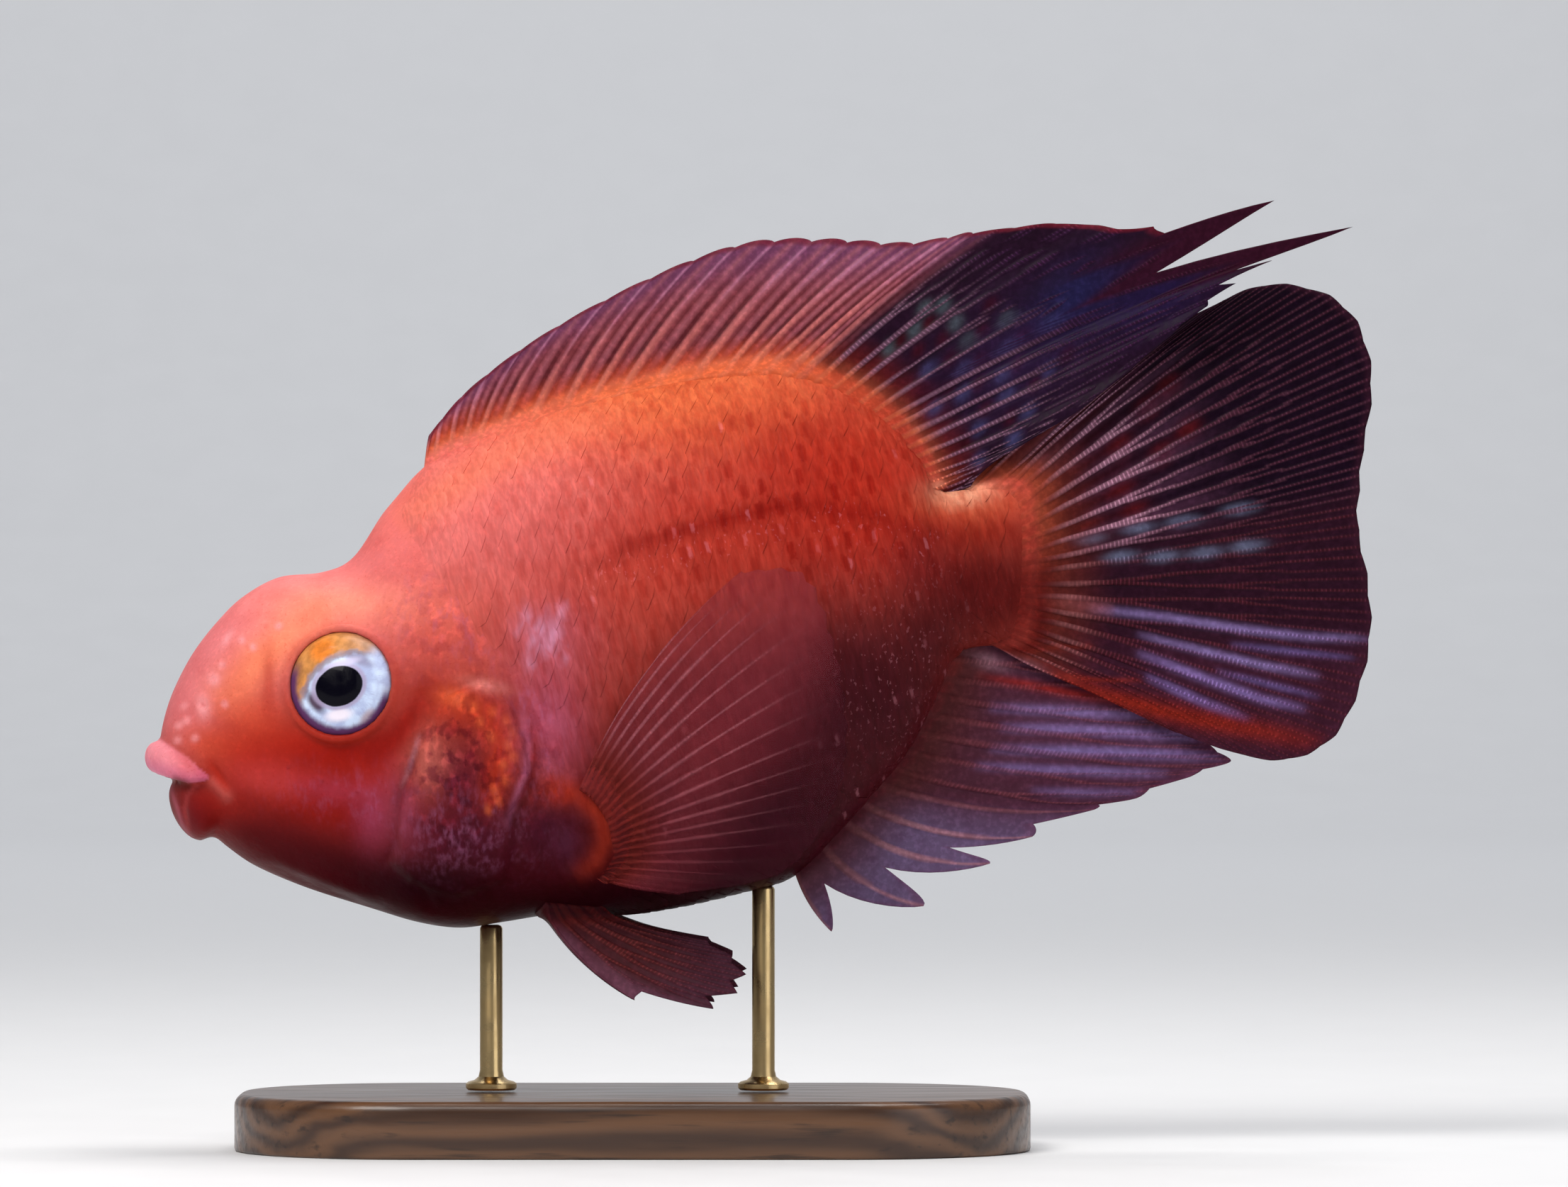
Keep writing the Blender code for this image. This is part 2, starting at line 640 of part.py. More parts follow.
def pectoral_fin(name, side, tree):
    """A pectoral fin, fanned out along the flank and clear of it."""
    rays = []
    for rx, rz, tx, tz, out, bow in spread(PECTORAL_GUIDES, PECTORAL_RAYS):
        root_y = (flank(tree, rx, rz) - PECTORAL_SUNK) * side
        rays.append((Vector((rx, root_y, rz)), Vector((tx, out * side, tz)), bow))

    def off_the_flank(place, v):
        least = flank(tree, place.x, place.z) + PECTORAL_CLEAR + PECTORAL_SPREAD * v
        if v > PECTORAL_ROOT_SHARE and abs(place.y) < least:
            place.y = least * side
        return place

    webs = [PECTORAL_WEB] * (len(rays) - 1)
    return fin_solid(name, rays, PECTORAL_ROWS, webs, 0, off_the_flank)


def pelvic_fin(name, side):
    """A pelvic fin, spread under the belly, its first ray the longest."""
    rays = []
    for rx, rz, tx, tz, out, bow, root_y in PELVIC_GUIDES:
        rays.append((Vector((rx, root_y * side, rz)), Vector((tx, out * side, tz)), bow))
    return fin_solid(name, rays, PELVIC_ROWS, PELVIC_WEBS, PELVIC_SPINES)


def bend(place):
    """Where a point of the straight fish lies once its midline is bent."""
    ahead = max(0.0, HEAD_BEND_FROM - place.x)
    behind = max(0.0, place.x - TAIL_BEND_FROM)
    turn = HEAD_BEND * ahead + TAIL_BEND * behind
    middle = (TAIL_BEND * behind**2 - HEAD_BEND * ahead**2) / 2
    return Vector((
        place.x - place.y * math.sin(turn), middle + place.y * math.cos(turn), place.z,
    ))


def finish_node(obj, look, bent=True):
    """Bends a finished solid with the fish, turns it into metres and gives it its material."""
    for vert in obj.data.vertices:
        vert.co = (bend(vert.co) if bent else vert.co) * MM
    obj.data.materials.clear()
    obj.data.materials.append(look)
    obj.data.shade_smooth()
    obj.data.set_sharp_from_angle(angle=math.radians(SMOOTH_UP_TO))


def make_flesh(looks, tree):
    """The head, jaw, trunk and tail stalk, with the gill covers, eyes and lips on them."""
    whole = flesh("whole")
    nodes, rims = [], []
    cutters = [ellipsoid("gape", GAPE_CENTRE, GAPE_RADII)]
    for word, side in (("left", -1), ("right", 1)):
        flap, recess = gill_cover("gill_cover_" + word, side)
        place, normal = outward(tree, *EYE_PLACE, side)
        rims.append(orbit_rim(place, normal))
        cutters.append(recess)
        cutters.append(eyeball("socket", place, normal, grow=GAP))
        cutters.append(nostril_pit(*outward(tree, *NOSTRIL_PLACE, side)))
        nodes.append((flap, looks["cheek"]))
        nodes.append((eyeball("eye_" + word, place, normal), looks["eye"]))
    for line in (NAPE_TO_THROAT, STALK_FRONT, MOUTH_TO_CHIN):
        cutters.append(curtain("wall", line))
    boolean(whole, "UNION", *rims)
    boolean(whole, "DIFFERENCE", *cutters)
    parts = closed_parts(whole)[:4]
    mean_x = {id(p): sum(whole.data.vertices[i].co.x for i in p) / len(p) for p in parts}
    names = ("lower_jaw", "head", "trunk", "tail_stalk")
    for name, part in zip(names, sorted(parts, key=lambda p: mean_x[id(p)])):
        piece = duplicate(whole, name)
        keep_part(piece, part)
        nodes.append((piece, looks["cheek" if name in ("head", "lower_jaw") else "flank"]))
    upper = lip("upper_lip", UPPER_LIP_FRONT, UPPER_LIP_CORNER, UPPER_LIP_THICK, UPPER_LIP_LEAN)
    lower = lip("lower_lip", LOWER_LIP_FRONT, LOWER_LIP_CORNER, LOWER_LIP_THICK, LOWER_LIP_LEAN)
    nodes += [(upper, looks["lip"]), (lower, looks["lip"])]
    discard(whole)
    return nodes, (upper, lower)


def make_stand(looks, near):
    """The base and the two rods that hold the fish, the rods trimmed to the belly."""
    bm = bmesh.new()
    outline = []
    for cx, cy, start in ((1, 1, 0), (-1, 1, 1), (-1, -1, 2), (1, -1, 3)):
        for i in range(BASE_CORNER_STEPS + 1):
            a = math.pi / 2 * (start + i / BASE_CORNER_STEPS)
            outline.append((
                BASE_CENTRE_X + cx * (BASE_LENGTH / 2 - BASE_CORNER) + BASE_CORNER * math.cos(a),
                cy * (BASE_WIDTH / 2 - BASE_CORNER) + BASE_CORNER * math.sin(a),
            ))
    face = bm.faces.new([bm.verts.new((x, y, 0)) for x, y in outline])
    made = bmesh.ops.extrude_face_region(bm, geom=[face])
    raised = [v for v in made["geom"] if isinstance(v, bmesh.types.BMVert)]
    bmesh.ops.translate(bm, verts=raised, vec=(0, 0, BASE_THICK))
    face_outwards(bm)
    top = [e for e in bm.edges if min(v.co.z for v in e.verts) > BASE_THICK / 2]
    bmesh.ops.bevel(
        bm, geom=top, offset=BASE_BEVEL, segments=BASE_BEVEL_STEPS, profile=0.5, affect="EDGES"
    )
    base = object_from(bm, "stand_base")
    finish_node(base, looks["stand"], bent=False)
    for name, x in ROD_PLACES.items():
        foot = BASE_THICK + GAP
        bm = bmesh.new()
        head = foot + COLLAR_THICK
        profile = [(0, foot), (COLLAR_RADIUS, foot), (COLLAR_RADIUS, head - COLLAR_CHAMFER)]
        profile += [(COLLAR_RADIUS - COLLAR_CHAMFER, head), (ROD_RADIUS, head)]
        profile += [(ROD_RADIUS, ROD_TOP), (0, ROD_TOP)]
        verts = [bm.verts.new((r, 0, z)) for r, z in profile]
        edges = [bm.edges.new(pair) for pair in zip(verts, verts[1:])]
        bmesh.ops.spin(
            bm, geom=verts + edges, cent=(0, 0, 0), axis=(0, 0, 1), angle=2 * math.pi, steps=ROD_SIDES
        )
        bmesh.ops.remove_doubles(bm, verts=bm.verts, dist=GAP / 10)
        face_outwards(bm)
        bmesh.ops.translate(bm, verts=bm.verts, vec=(x, 0, 0))
        rod = object_from(bm, name)
        boolean(rod, "DIFFERENCE", duplicate(near, "belly"))
        keep_largest(rod)
        finish_node(rod, looks["rod"], bent=False)


def main():
    """Builds every node of the model."""
    clear_scene()
    looks = {
        "flank": material("flank", (0.84, 0.17, 0.06), 0.38),
        "cheek": material("cheek", (0.80, 0.20, 0.08), 0.36),
        "lip": material("lip", (0.90, 0.38, 0.28), 0.4),
        "eye": material("eye", (0.75, 0.80, 0.85), 0.1),
        "fin": material("fin", (0.52, 0.19, 0.20), 0.45),
        "stand": material("stand", (0.06, 0.035, 0.02), 0.3),
        "rod": material("rod", (0.75, 0.58, 0.30), 0.25, 1.0),
    }
    plain = flesh("plain")
    near = flesh("near", GAP)
    tree = tree_of(plain)
    nodes, lips = make_flesh(looks, tree)
    fins = [dorsal_fin(), caudal_fin(), anal_fin()]
    for word, side in (("left", -1), ("right", 1)):
        fins.append(pectoral_fin("pectoral_fin_" + word, side, tree))
        fins.append(pelvic_fin("pelvic_fin_" + word, side))
    for solid in [*lips, *fins]:
        boolean(solid, "DIFFERENCE", duplicate(near, "root_cutter"))
        keep_largest(solid)
    for obj, look in nodes + [(fin, looks["fin"]) for fin in fins]:
        finish_node(obj, look)
    make_stand(looks, near)
    discard(plain, near)


main()
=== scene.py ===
"""Blood parrot cichlid: the dressed, life-size model on its stand, in a plain studio.

Shapes are made in millimetres on a straight, level fish (it faces -X, its left side faces -Y),
then bent with its midline and written in metres. Folds and colours are placed on the portrait
plane: the side view as the camera sees it, x to the right and z up, in millimetres.
"""

from __future__ import annotations

import logging
import math
from dataclasses import dataclass, field
from enum import Enum

import bpy
import numpy as np
from mathutils import Matrix, Vector
from mathutils.bvhtree import BVHTree

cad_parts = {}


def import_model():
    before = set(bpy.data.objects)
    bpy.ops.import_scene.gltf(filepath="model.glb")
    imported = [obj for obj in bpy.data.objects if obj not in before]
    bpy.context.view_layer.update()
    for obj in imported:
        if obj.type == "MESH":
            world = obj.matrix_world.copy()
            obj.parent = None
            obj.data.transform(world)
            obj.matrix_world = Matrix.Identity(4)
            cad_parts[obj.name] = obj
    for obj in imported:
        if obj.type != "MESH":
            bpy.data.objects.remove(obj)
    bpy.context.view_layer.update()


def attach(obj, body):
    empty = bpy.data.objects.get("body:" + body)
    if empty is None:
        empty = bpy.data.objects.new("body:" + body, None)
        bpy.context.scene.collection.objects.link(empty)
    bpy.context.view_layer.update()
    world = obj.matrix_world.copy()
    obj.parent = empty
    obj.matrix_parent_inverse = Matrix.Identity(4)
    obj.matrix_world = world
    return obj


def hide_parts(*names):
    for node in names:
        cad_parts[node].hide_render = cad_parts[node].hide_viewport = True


log = logging.getLogger("blood_parrot")

MM = 0.001
Array = np.ndarray
Colour = tuple[float, float, float]
Row = tuple[float, ...]


class Side(Enum):
    """The two sides of the fish, by the sign of Y."""

    LEFT = -1
    RIGHT = 1


class Fade(Enum):
    """How a band of relief or colour ends at its two ends."""

    SOFT = "soft"
    FULL = "full"


def spline(rows: Array, t: Array) -> Array:
    """Reads a smooth curve through rows of numbers.

    Args:
        rows: One row of numbers for each knot.
        t: Places to read, counted in rows from the first.

    Returns:
        One row of numbers for each place.
    """
    at = np.clip(np.floor(t).astype(int), 0, len(rows) - 2)
    f = (t - at)[:, None]
    here, there = rows[at], rows[at + 1]
    before, after = rows[np.maximum(at - 1, 0)], rows[np.minimum(at + 2, len(rows) - 1)]
    leaving, arriving = (there - before) / 2, (after - here) / 2
    return (
        (2 * f**3 - 3 * f**2 + 1) * here + (f**3 - 2 * f**2 + f) * leaving
        + (3 * f**2 - 2 * f**3) * there + (f**3 - f**2) * arriving
    )


def ease(values: Array, low: float, high: float) -> Array:
    """A smooth step from 0 at low to 1 at high (which may be the lower number)."""
    t = np.clip((values - low) / (high - low), 0.0, 1.0)
    return t * t * (3 - 2 * t)


def unit(vectors: Array) -> Array:
    """The same directions at length 1."""
    return vectors / np.maximum(np.linalg.norm(vectors, axis=-1, keepdims=True), 1e-9)


def polyline(points: Array, line: list[tuple[float, float]]) -> tuple[Array, Array]:
    """Measures points of the plane against a line of straight pieces.

    Args:
        points: Points of the plane, one (x, z) row each.
        line: The corners of the line.

    Returns:
        Each point's distance to the line, and the share of the line's length it is nearest to.
    """
    corners = np.array(line)
    lengths = np.linalg.norm(np.diff(corners, axis=0), axis=1)
    starts = np.concatenate([[0.0], np.cumsum(lengths)])
    best = np.full(len(points), 1e9)
    share = np.zeros(len(points))
    for i, length in enumerate(lengths):
        run = (corners[i + 1] - corners[i]) / length
        along = np.clip((points - corners[i]) @ run, 0, length)
        gap = np.linalg.norm(points - corners[i] - along[:, None] * run, axis=1)
        nearer = gap < best
        best[nearer] = gap[nearer]
        share[nearer] = (starts[i] + along[nearer]) / starts[-1]
    return best, share


def inside_distance(points: Array, outline: list[tuple[float, float]]) -> Array:
    """How far each point lies inside a closed outline, negative outside it."""
    corners = np.array(outline)
    gap, _ = polyline(points, outline + outline[:1])
    crossings = np.zeros(len(points), dtype=int)
    for a, b in zip(corners, np.roll(corners, -1, axis=0)):
        spans = (a[1] > points[:, 1]) != (b[1] > points[:, 1])
        drop = b[1] - a[1] if b[1] != a[1] else 1e-9
        at = a[0] + (points[:, 1] - a[1]) * (b[0] - a[0]) / drop
        crossings += spans & (points[:, 0] < at)
    return np.where(crossings % 2 == 1, gap, -gap)


class Bench:
    """The workbench: what every piece is made, measured and finished with."""

    @staticmethod
    def clear() -> None:
        """Takes everything out of the selection."""
        bpy.ops.object.select_all(action="DESELECT")

    @classmethod
    def named(cls, name: str) -> bpy.types.Object:
        """The piece that was added last, under its own name."""
        piece = bpy.context.active_object
        piece.name = name
        piece.data.name = name
        return piece

    @classmethod
    def sheet(cls, name: str, columns: int, rows: int) -> bpy.types.Object:
        """A flat grid to be shaped, with columns by rows of faces."""
        cls.clear()
        bpy.ops.mesh.primitive_grid_add(x_subdivisions=columns, y_subdivisions=rows, size=2)
        return cls.named(name)

    @classmethod
    def ball(cls, name: str, sides: int, rings: int) -> tuple[bpy.types.Object, Array, Array]:
        """A ball to be shaped.

        Args:
            name: The piece's name.
            sides: Faces round the ball.
            rings: Faces from pole to pole.

        Returns:
            The piece, and each vertex's share from pole to pole and angle round the ball.
        """
        cls.clear()
        bpy.ops.mesh.primitive_uv_sphere_add(segments=sides, ring_count=rings, radius=1.0)
        piece = cls.named(name)
        at = cls.places(piece)
        share = np.arccos(np.clip(-at[:, 2], -1, 1)) / math.pi
        share = np.round(share * rings) / rings
        return piece, share, np.arctan2(at[:, 1], at[:, 0])

    @staticmethod
    def places(piece: bpy.types.Object) -> Array:
        """Where the piece's vertices are."""
        flat = np.empty(len(piece.data.vertices) * 3, dtype=np.float32)
        piece.data.vertices.foreach_get("co", flat)
        return flat.reshape(-1, 3).astype(float)

    @staticmethod
    def put(piece: bpy.types.Object, places: Array) -> None:
        """Moves the piece's vertices."""
        piece.data.vertices.foreach_set("co", places.astype(np.float32).ravel())
        piece.data.update()

    @staticmethod
    def normals(piece: bpy.types.Object) -> Array:
        """The way each vertex of the piece faces."""
        flat = np.empty(len(piece.data.vertices) * 3, dtype=np.float32)
        piece.data.vertex_normals.foreach_get("vector", flat)
        return flat.reshape(-1, 3).astype(float)

    @staticmethod
    def value(piece: bpy.types.Object, name: str, values: Array) -> None:
        """Writes one number for each vertex, for the finish to read."""
        layer = piece.data.attributes.new(name, "FLOAT", "POINT")
        layer.data.foreach_set("value", np.asarray(values, dtype=np.float32))

    @staticmethod
    def tint(piece: bpy.types.Object, colours: Array) -> None:
        """Writes one colour for each vertex, for the finish to read."""
        layer = piece.data.attributes.new("Tint", "FLOAT_COLOR", "POINT")
        full = np.ones((len(colours), 4), dtype=np.float32)
        full[:, :3] = np.clip(colours, 0, 1)
        layer.data.foreach_set("color", full.ravel())

    @staticmethod
    def group(piece: bpy.types.Object, name: str, shares: Array) -> None:
        """Writes a vertex group, for a modifier to read."""
        made = piece.vertex_groups.new(name=name)
        for i in np.nonzero(shares > 0.01)[0]:
            made.add([int(i)], float(shares[i]), "REPLACE")

    @staticmethod
    def unwrap(piece: bpy.types.Object, name: str, flat: Array) -> None:
        """Writes a UV map from one (u, v) row for each vertex."""
        layer = piece.data.uv_layers.get(name) or piece.data.uv_layers.new(name=name)
        corner = np.empty(len(piece.data.loops), dtype=np.int32)
        piece.data.loops.foreach_get("vertex_index", corner)
        layer.uv.foreach_set("vector", flat[corner].astype(np.float32).ravel())

    @staticmethod
    def modify(piece: bpy.types.Object, kind: str, **settings: object) -> None:
        """Adds one modifier to the piece and applies it."""
        Bench.clear()
        piece.select_set(True)
        bpy.context.view_layer.objects.active = piece
        step = piece.modifiers.new(kind.title(), kind)
        for key, setting in settings.items():
            setattr(step, key, setting)
        bpy.ops.object.modifier_apply(modifier=step.name)

    @staticmethod
    def joined(name: str, pieces: list[bpy.types.Object]) -> bpy.types.Object:
        """Makes one piece of several."""
        Bench.clear()
        for piece in pieces:
            piece.select_set(True)
        bpy.context.view_layer.objects.active = pieces[0]
        bpy.ops.object.join()
        return Bench.named(name)

    @staticmethod
    def outwards(piece: bpy.types.Object) -> None:
        """Turns all faces of a closed piece outwards."""
        Bench.clear()
        piece.select_set(True)
        bpy.context.view_layer.objects.active = piece
        bpy.ops.object.mode_set(mode="EDIT")
        bpy.ops.mesh.select_all(action="SELECT")
        bpy.ops.mesh.normals_make_consistent(inside=False)
        bpy.ops.object.mode_set(mode="OBJECT")

    @staticmethod
    def smooth(piece: bpy.types.Object, angle: float | None = None) -> None:
        """Shades the piece smooth, with edges sharper than an angle in degrees left sharp."""
        Bench.clear()
        piece.select_set(True)
        bpy.context.view_layer.objects.active = piece
        if angle is None:
            bpy.ops.object.shade_smooth()
        else:
            bpy.ops.object.shade_smooth_by_angle(angle=math.radians(angle))

    @staticmethod
    def surface(piece: bpy.types.Object) -> BVHTree:
        """A search tree over the piece's faces."""
        bpy.context.view_layer.update()
        return BVHTree.FromObject(piece, bpy.context.evaluated_depsgraph_get())

    @staticmethod
    def dress(piece: bpy.types.Object, finish: bpy.types.Material) -> None:
        """Gives the piece its only finish."""
        piece.data.materials.clear()
        piece.data.materials.append(finish)


class Wiring:
    """Builds the node tree of one finish."""

    def __init__(self, name: str) -> None:
        """Starts a finish with its shader."""
        self.finish = bpy.data.materials.new(name)
        self.finish.use_nodes = True
        self.tree = self.finish.node_tree
        self.shader = self.tree.nodes["Principled BSDF"]

    def fix(self, **settings: object) -> None:
        """Sets sockets of the shader that are the same all over the surface."""
        for key, setting in settings.items():
            self.shader.inputs[key.replace("_", " ")].default_value = setting

    def node(self, kind: str, **settings: object) -> bpy.types.Node:
        """Adds a node and sets its options."""
        made = self.tree.nodes.new("ShaderNode" + kind)
        for key, setting in settings.items():
            setattr(made, key, setting)
        return made

    def feed(self, socket: bpy.types.NodeSocket, source: object) -> None:
        """Gives a socket a link, a number or a colour."""
        if isinstance(source, bpy.types.NodeSocket):
            self.tree.links.new(source, socket)
        elif isinstance(source, tuple) and len(source) == 3 and socket.type == "RGBA":
            socket.default_value = (*source, 1.0)
        else:
            socket.default_value = source

    def place(self) -> bpy.types.NodeSocket:
        """The place on the object, in metres."""
        return self.node("TexCoord").outputs["Object"]

    def unwrapped(self, name: str) -> tuple[bpy.types.NodeSocket, bpy.types.NodeSocket]:
        """The two coordinates of a UV map."""
        split = self.node("SeparateXYZ")
        self.feed(split.inputs[0], self.node("UVMap", uv_map=name).outputs["UV"])
        return split.outputs[0], split.outputs[1]

    def colour(self, name: str) -> bpy.types.NodeSocket:
        """A colour written on the vertices."""
        return self.node("Attribute", attribute_name=name).outputs["Color"]

    def number(self, name: str) -> bpy.types.NodeSocket:
        """A number written on the vertices."""
        return self.node("Attribute", attribute_name=name).outputs["Fac"]

    def sum(self, operation: str, a: object, b: object = 0.0, c: object = 0.0) -> bpy.types.NodeSocket:
        """Does one sum on numbers."""
        made = self.node("Math", operation=operation)
        for socket, source in zip(made.inputs, (a, b, c)):
            self.feed(socket, source)
        return made.outputs[0]

    def noise(self, scale: float, detail: float = 3.0, at: object = None, squeeze: Row = (1, 1, 1)) -> bpy.types.NodeSocket:
        """A noise with about 1/scale metres between its lumps.

        Args:
            scale: Lumps for each metre.
            detail: Octaves of finer noise.
            at: Where it is read, the place on the object if not given.
            squeeze: How much denser it is along each axis.

        Returns:
            A number round 0.5.
        """
        made = self.node("TexNoise")
        made.inputs["Scale"].default_value = scale
        made.inputs["Detail"].default_value = detail
        turn = self.node("Mapping")
        self.feed(turn.inputs["Vector"], self.place() if at is None else at)
        turn.inputs["Scale"].default_value = squeeze
        self.feed(made.inputs["Vector"], turn.outputs[0])
        return made.outputs["Fac"]

    def step(self, value: object, low: float, high: float, start: float = 0.0, end: float = 1.0) -> bpy.types.NodeSocket:
        """A smooth step of a number between two limits."""
        made = self.node("MapRange", interpolation_type="SMOOTHSTEP")
        for socket, source in zip(made.inputs, (value, low, high, start, end)):
            self.feed(socket, source)
        return made.outputs[0]

    def blend(self, share: object, a: object, b: object, how: str = "MIX") -> bpy.types.NodeSocket:
        """Mixes two colours."""
        made = self.node("Mix", data_type="RGBA", blend_type=how)
        self.feed(made.inputs[0], share)
        self.feed(made.inputs[6], a)
        self.feed(made.inputs[7], b)
        return made.outputs[2]

    def gain(self, colour: object, share: object, low: float, high: float) -> bpy.types.NodeSocket:
        """Dims or brightens a colour by a factor from low to high."""
        made = self.node("VectorMath", operation="SCALE")
        self.feed(made.inputs[0], colour)
        self.feed(made.inputs["Scale"], self.sum("MULTIPLY_ADD", share, high - low, low))
        return made.outputs[0]

    def turned(self, degrees: float) -> bpy.types.NodeSocket:
        """The place on the object, turned about Y."""
        made = self.node("Mapping")
        self.feed(made.inputs["Vector"], self.place())
        made.inputs["Rotation"].default_value = (0, math.radians(degrees), 0)
        return made.outputs[0]

    def bump(self, height: object, depth: float, strength: float = 1.0, under: object = None) -> bpy.types.NodeSocket:
        """Turns a height into relief.

        Args:
            height: The height, from 0 to 1.
            depth: How deep 1 is, in metres.
            strength: How much of it shows.
            under: The relief that lies under this one.

        Returns:
            The normal to shade with.
        """
        made = self.node("Bump")
        made.inputs["Strength"].default_value = strength
        made.inputs["Distance"].default_value = depth
        self.feed(made.inputs["Height"], height)
        if under is not None:
            self.feed(made.inputs["Normal"], under)
        return made.outputs[0]

    def done(self, colour: object, roughness: object, normal: object = None) -> bpy.types.Material:
        """Connects the shader and hands the finish over."""
        self.feed(self.shader.inputs["Base Color"], colour)
        self.feed(self.shader.inputs["Roughness"], roughness)
        if normal is not None:
            self.feed(self.shader.inputs["Normal"], normal)
        return self.finish


@dataclass(frozen=True)
class SkinFinish:
    """Moist fish skin: the painted colour, mottled, dusted and streaked where the skin says so."""

    name: str = "fish_skin"
    lean: float = 13.6
    mottle: float = 0.14
    pore_depth: float = 0.00006
    crease_depth: float = 0.00016
    lump_depth: float = 0.0006

    def make(self) -> bpy.types.Material:
        """Builds the finish."""
        w = Wiring(self.name)
        w.fix(IOR=1.4, Specular_IOR_Level=0.08)
        w.fix(Subsurface_Weight=0.1, Subsurface_Radius=(0.0022, 0.0006, 0.0004), Subsurface_Scale=1.0)
        broad, fine = w.noise(240, 4), w.noise(1500, 3)
        tint, rough, scaly = w.colour("Tint"), w.number("Mottle"), w.number("Scaly")
        dark = w.blend(w.step(broad, 0.35, 0.72, 0.0, self.mottle * 2), tint, (0.72, 0.42, 0.42), "MULTIPLY")
        pale = w.gain(dark, w.step(fine, 0.45, 0.8), 1.0, 1.0 + self.mottle)
        specks = w.step(w.noise(2600, 2), 0.58, 0.74, 0.0, 0.3)
        plain = w.blend(specks, pale, (0.75, 0.3, 0.25), "MULTIPLY")
        lumps, grains = w.noise(430, 5), w.noise(760, 4, squeeze=(1.0, 1.0, 0.7))
        hollow = w.sum("MULTIPLY", w.step(lumps, 0.50, 0.38), rough)
        sunk = w.blend(w.sum("MULTIPLY", hollow, 0.8), plain, (0.46, 0.26, 0.50), "MULTIPLY")
        # painted highlight: brighter on the crests of the raised grains where the skin is mottled
        raised = w.gain(sunk, w.sum("MULTIPLY", w.step(grains, 0.46, 0.70), rough), 1.0, 1.8)
        wisps = w.step(w.noise(1500, 3, squeeze=(1.0, 1.0, 0.3)), 0.36, 0.76)
        cloud = w.sum("MULTIPLY", w.step(w.noise(380, 3), 0.38, 0.62), wisps)
        dust = w.sum("MULTIPLY", cloud, w.number("Dust"))
        dusted = w.blend(dust, raised, (0.34, 0.105, 0.22))
        rows = w.turned(self.lean)
        streak = w.noise(1000, 3, rows, (1.0, 0.6, 0.22))
        shade = w.sum("MULTIPLY", w.step(streak, 0.56, 0.40, 0.0, 0.4), scaly)
        colour = w.blend(shade, dusted, (0.72, 0.40, 0.36), "MULTIPLY")
        creases = w.bump(w.noise(420, 5, squeeze=(1.6, 1.0, 0.8)), self.crease_depth, 0.6)
        bumps = w.bump(w.sum("MULTIPLY", grains, rough), self.lump_depth, 0.6, creases)
        return w.done(colour, w.step(broad, 0.2, 0.8, 0.4, 0.54), w.bump(fine, self.pore_depth, 0.7, bumps))


@dataclass(frozen=True)
class ScaleFinish:
    """A scale: the skin's colour, fine growth lines, and a dark dash or a pale fleck near its edge."""

    name: str = "fish_scale"
    lean: float = 13.6
    lines: float = 30.0
    line_depth: float = 0.00003

    def make(self) -> bpy.types.Material:
        """Builds the finish."""
        w = Wiring(self.name)
        w.fix(IOR=1.4, Specular_IOR_Level=0.08)
        w.fix(Subsurface_Weight=0.08, Subsurface_Radius=(0.0018, 0.0005, 0.0003), Subsurface_Scale=1.0)
        along, across = w.unwrapped("Scale")
        broad = w.noise(240, 4)
        rows = w.turned(self.lean)
        streak = w.noise(1000, 3, rows, (1.0, 0.6, 0.22))
        thread = w.noise(2300, 3, rows, (1.0, 0.5, 0.16))
        tint = w.colour("Tint")
        dark = w.blend(w.step(broad, 0.35, 0.72, 0.0, 0.3), tint, (0.72, 0.45, 0.45), "MULTIPLY")
        lined = w.sum("MULTIPLY_ADD", w.number("Scaly"), 0.8, 0.2)
        shade = w.sum("MULTIPLY", w.step(streak, 0.56, 0.40, 0.0, 0.4), lined)
        shaded = w.blend(shade, dark, (0.72, 0.40, 0.36), "MULTIPLY")
        threaded = w.gain(shaded, w.step(thread, 0.35, 0.7), 0.93, 1.13)
        rim = w.sum("MULTIPLY", w.step(along, 0.80, 0.97), w.step(streak, 0.35, 0.6))
        rimmed = w.gain(threaded, rim, 1.0, 1.14)
        frayed = w.sum("MULTIPLY_ADD", w.noise(1500, 2), 0.30, -0.15)
        up = w.sum("ABSOLUTE", w.sum("SUBTRACT", across, 0.5))
        aside = w.sum("ADD", w.sum("ABSOLUTE", w.sum("SUBTRACT", along, 0.66)), w.sum("MULTIPLY", frayed, 0.5))
        slot = w.sum("MULTIPLY", w.step(aside, 0.17, 0.05), w.step(w.sum("ADD", up, frayed), 0.26, 0.12))
        dashed = w.blend(w.sum("MULTIPLY", slot, w.number("Dash")), rimmed, (0.72, 0.36, 0.30), "MULTIPLY")
        spot = w.sum("ADD", w.sum("ABSOLUTE", w.sum("SUBTRACT", along, 0.86)), w.sum("MULTIPLY", frayed, 0.3))
        fleck = w.sum("MULTIPLY", w.step(spot, 0.085, 0.03), w.step(w.sum("ADD", up, frayed), 0.16, 0.05))
        lit = w.blend(0.45, w.gain(dashed, 1.0, 1.0, 1.7), (0.34, 0.12, 0.15))
        strewn = w.step(w.noise(2000, 2, rows, (1.0, 0.9, 0.65)), 0.62, 0.69)
        flecks = w.sum("MAXIMUM", w.sum("MULTIPLY", fleck, w.number("Fleck")), w.sum("MULTIPLY", strewn, w.number("Strewn")))
        glint = w.blend(flecks, dashed, lit)
        ripple = w.sum("SINE", w.sum("MULTIPLY_ADD", along, self.lines, w.sum("MULTIPLY", streak, 9.0)))
        relief = w.bump(ripple, self.line_depth, 0.4, w.bump(thread, 0.00004, 0.5))
        return w.done(glint, w.step(broad, 0.2, 0.8, 0.4, 0.54), relief)


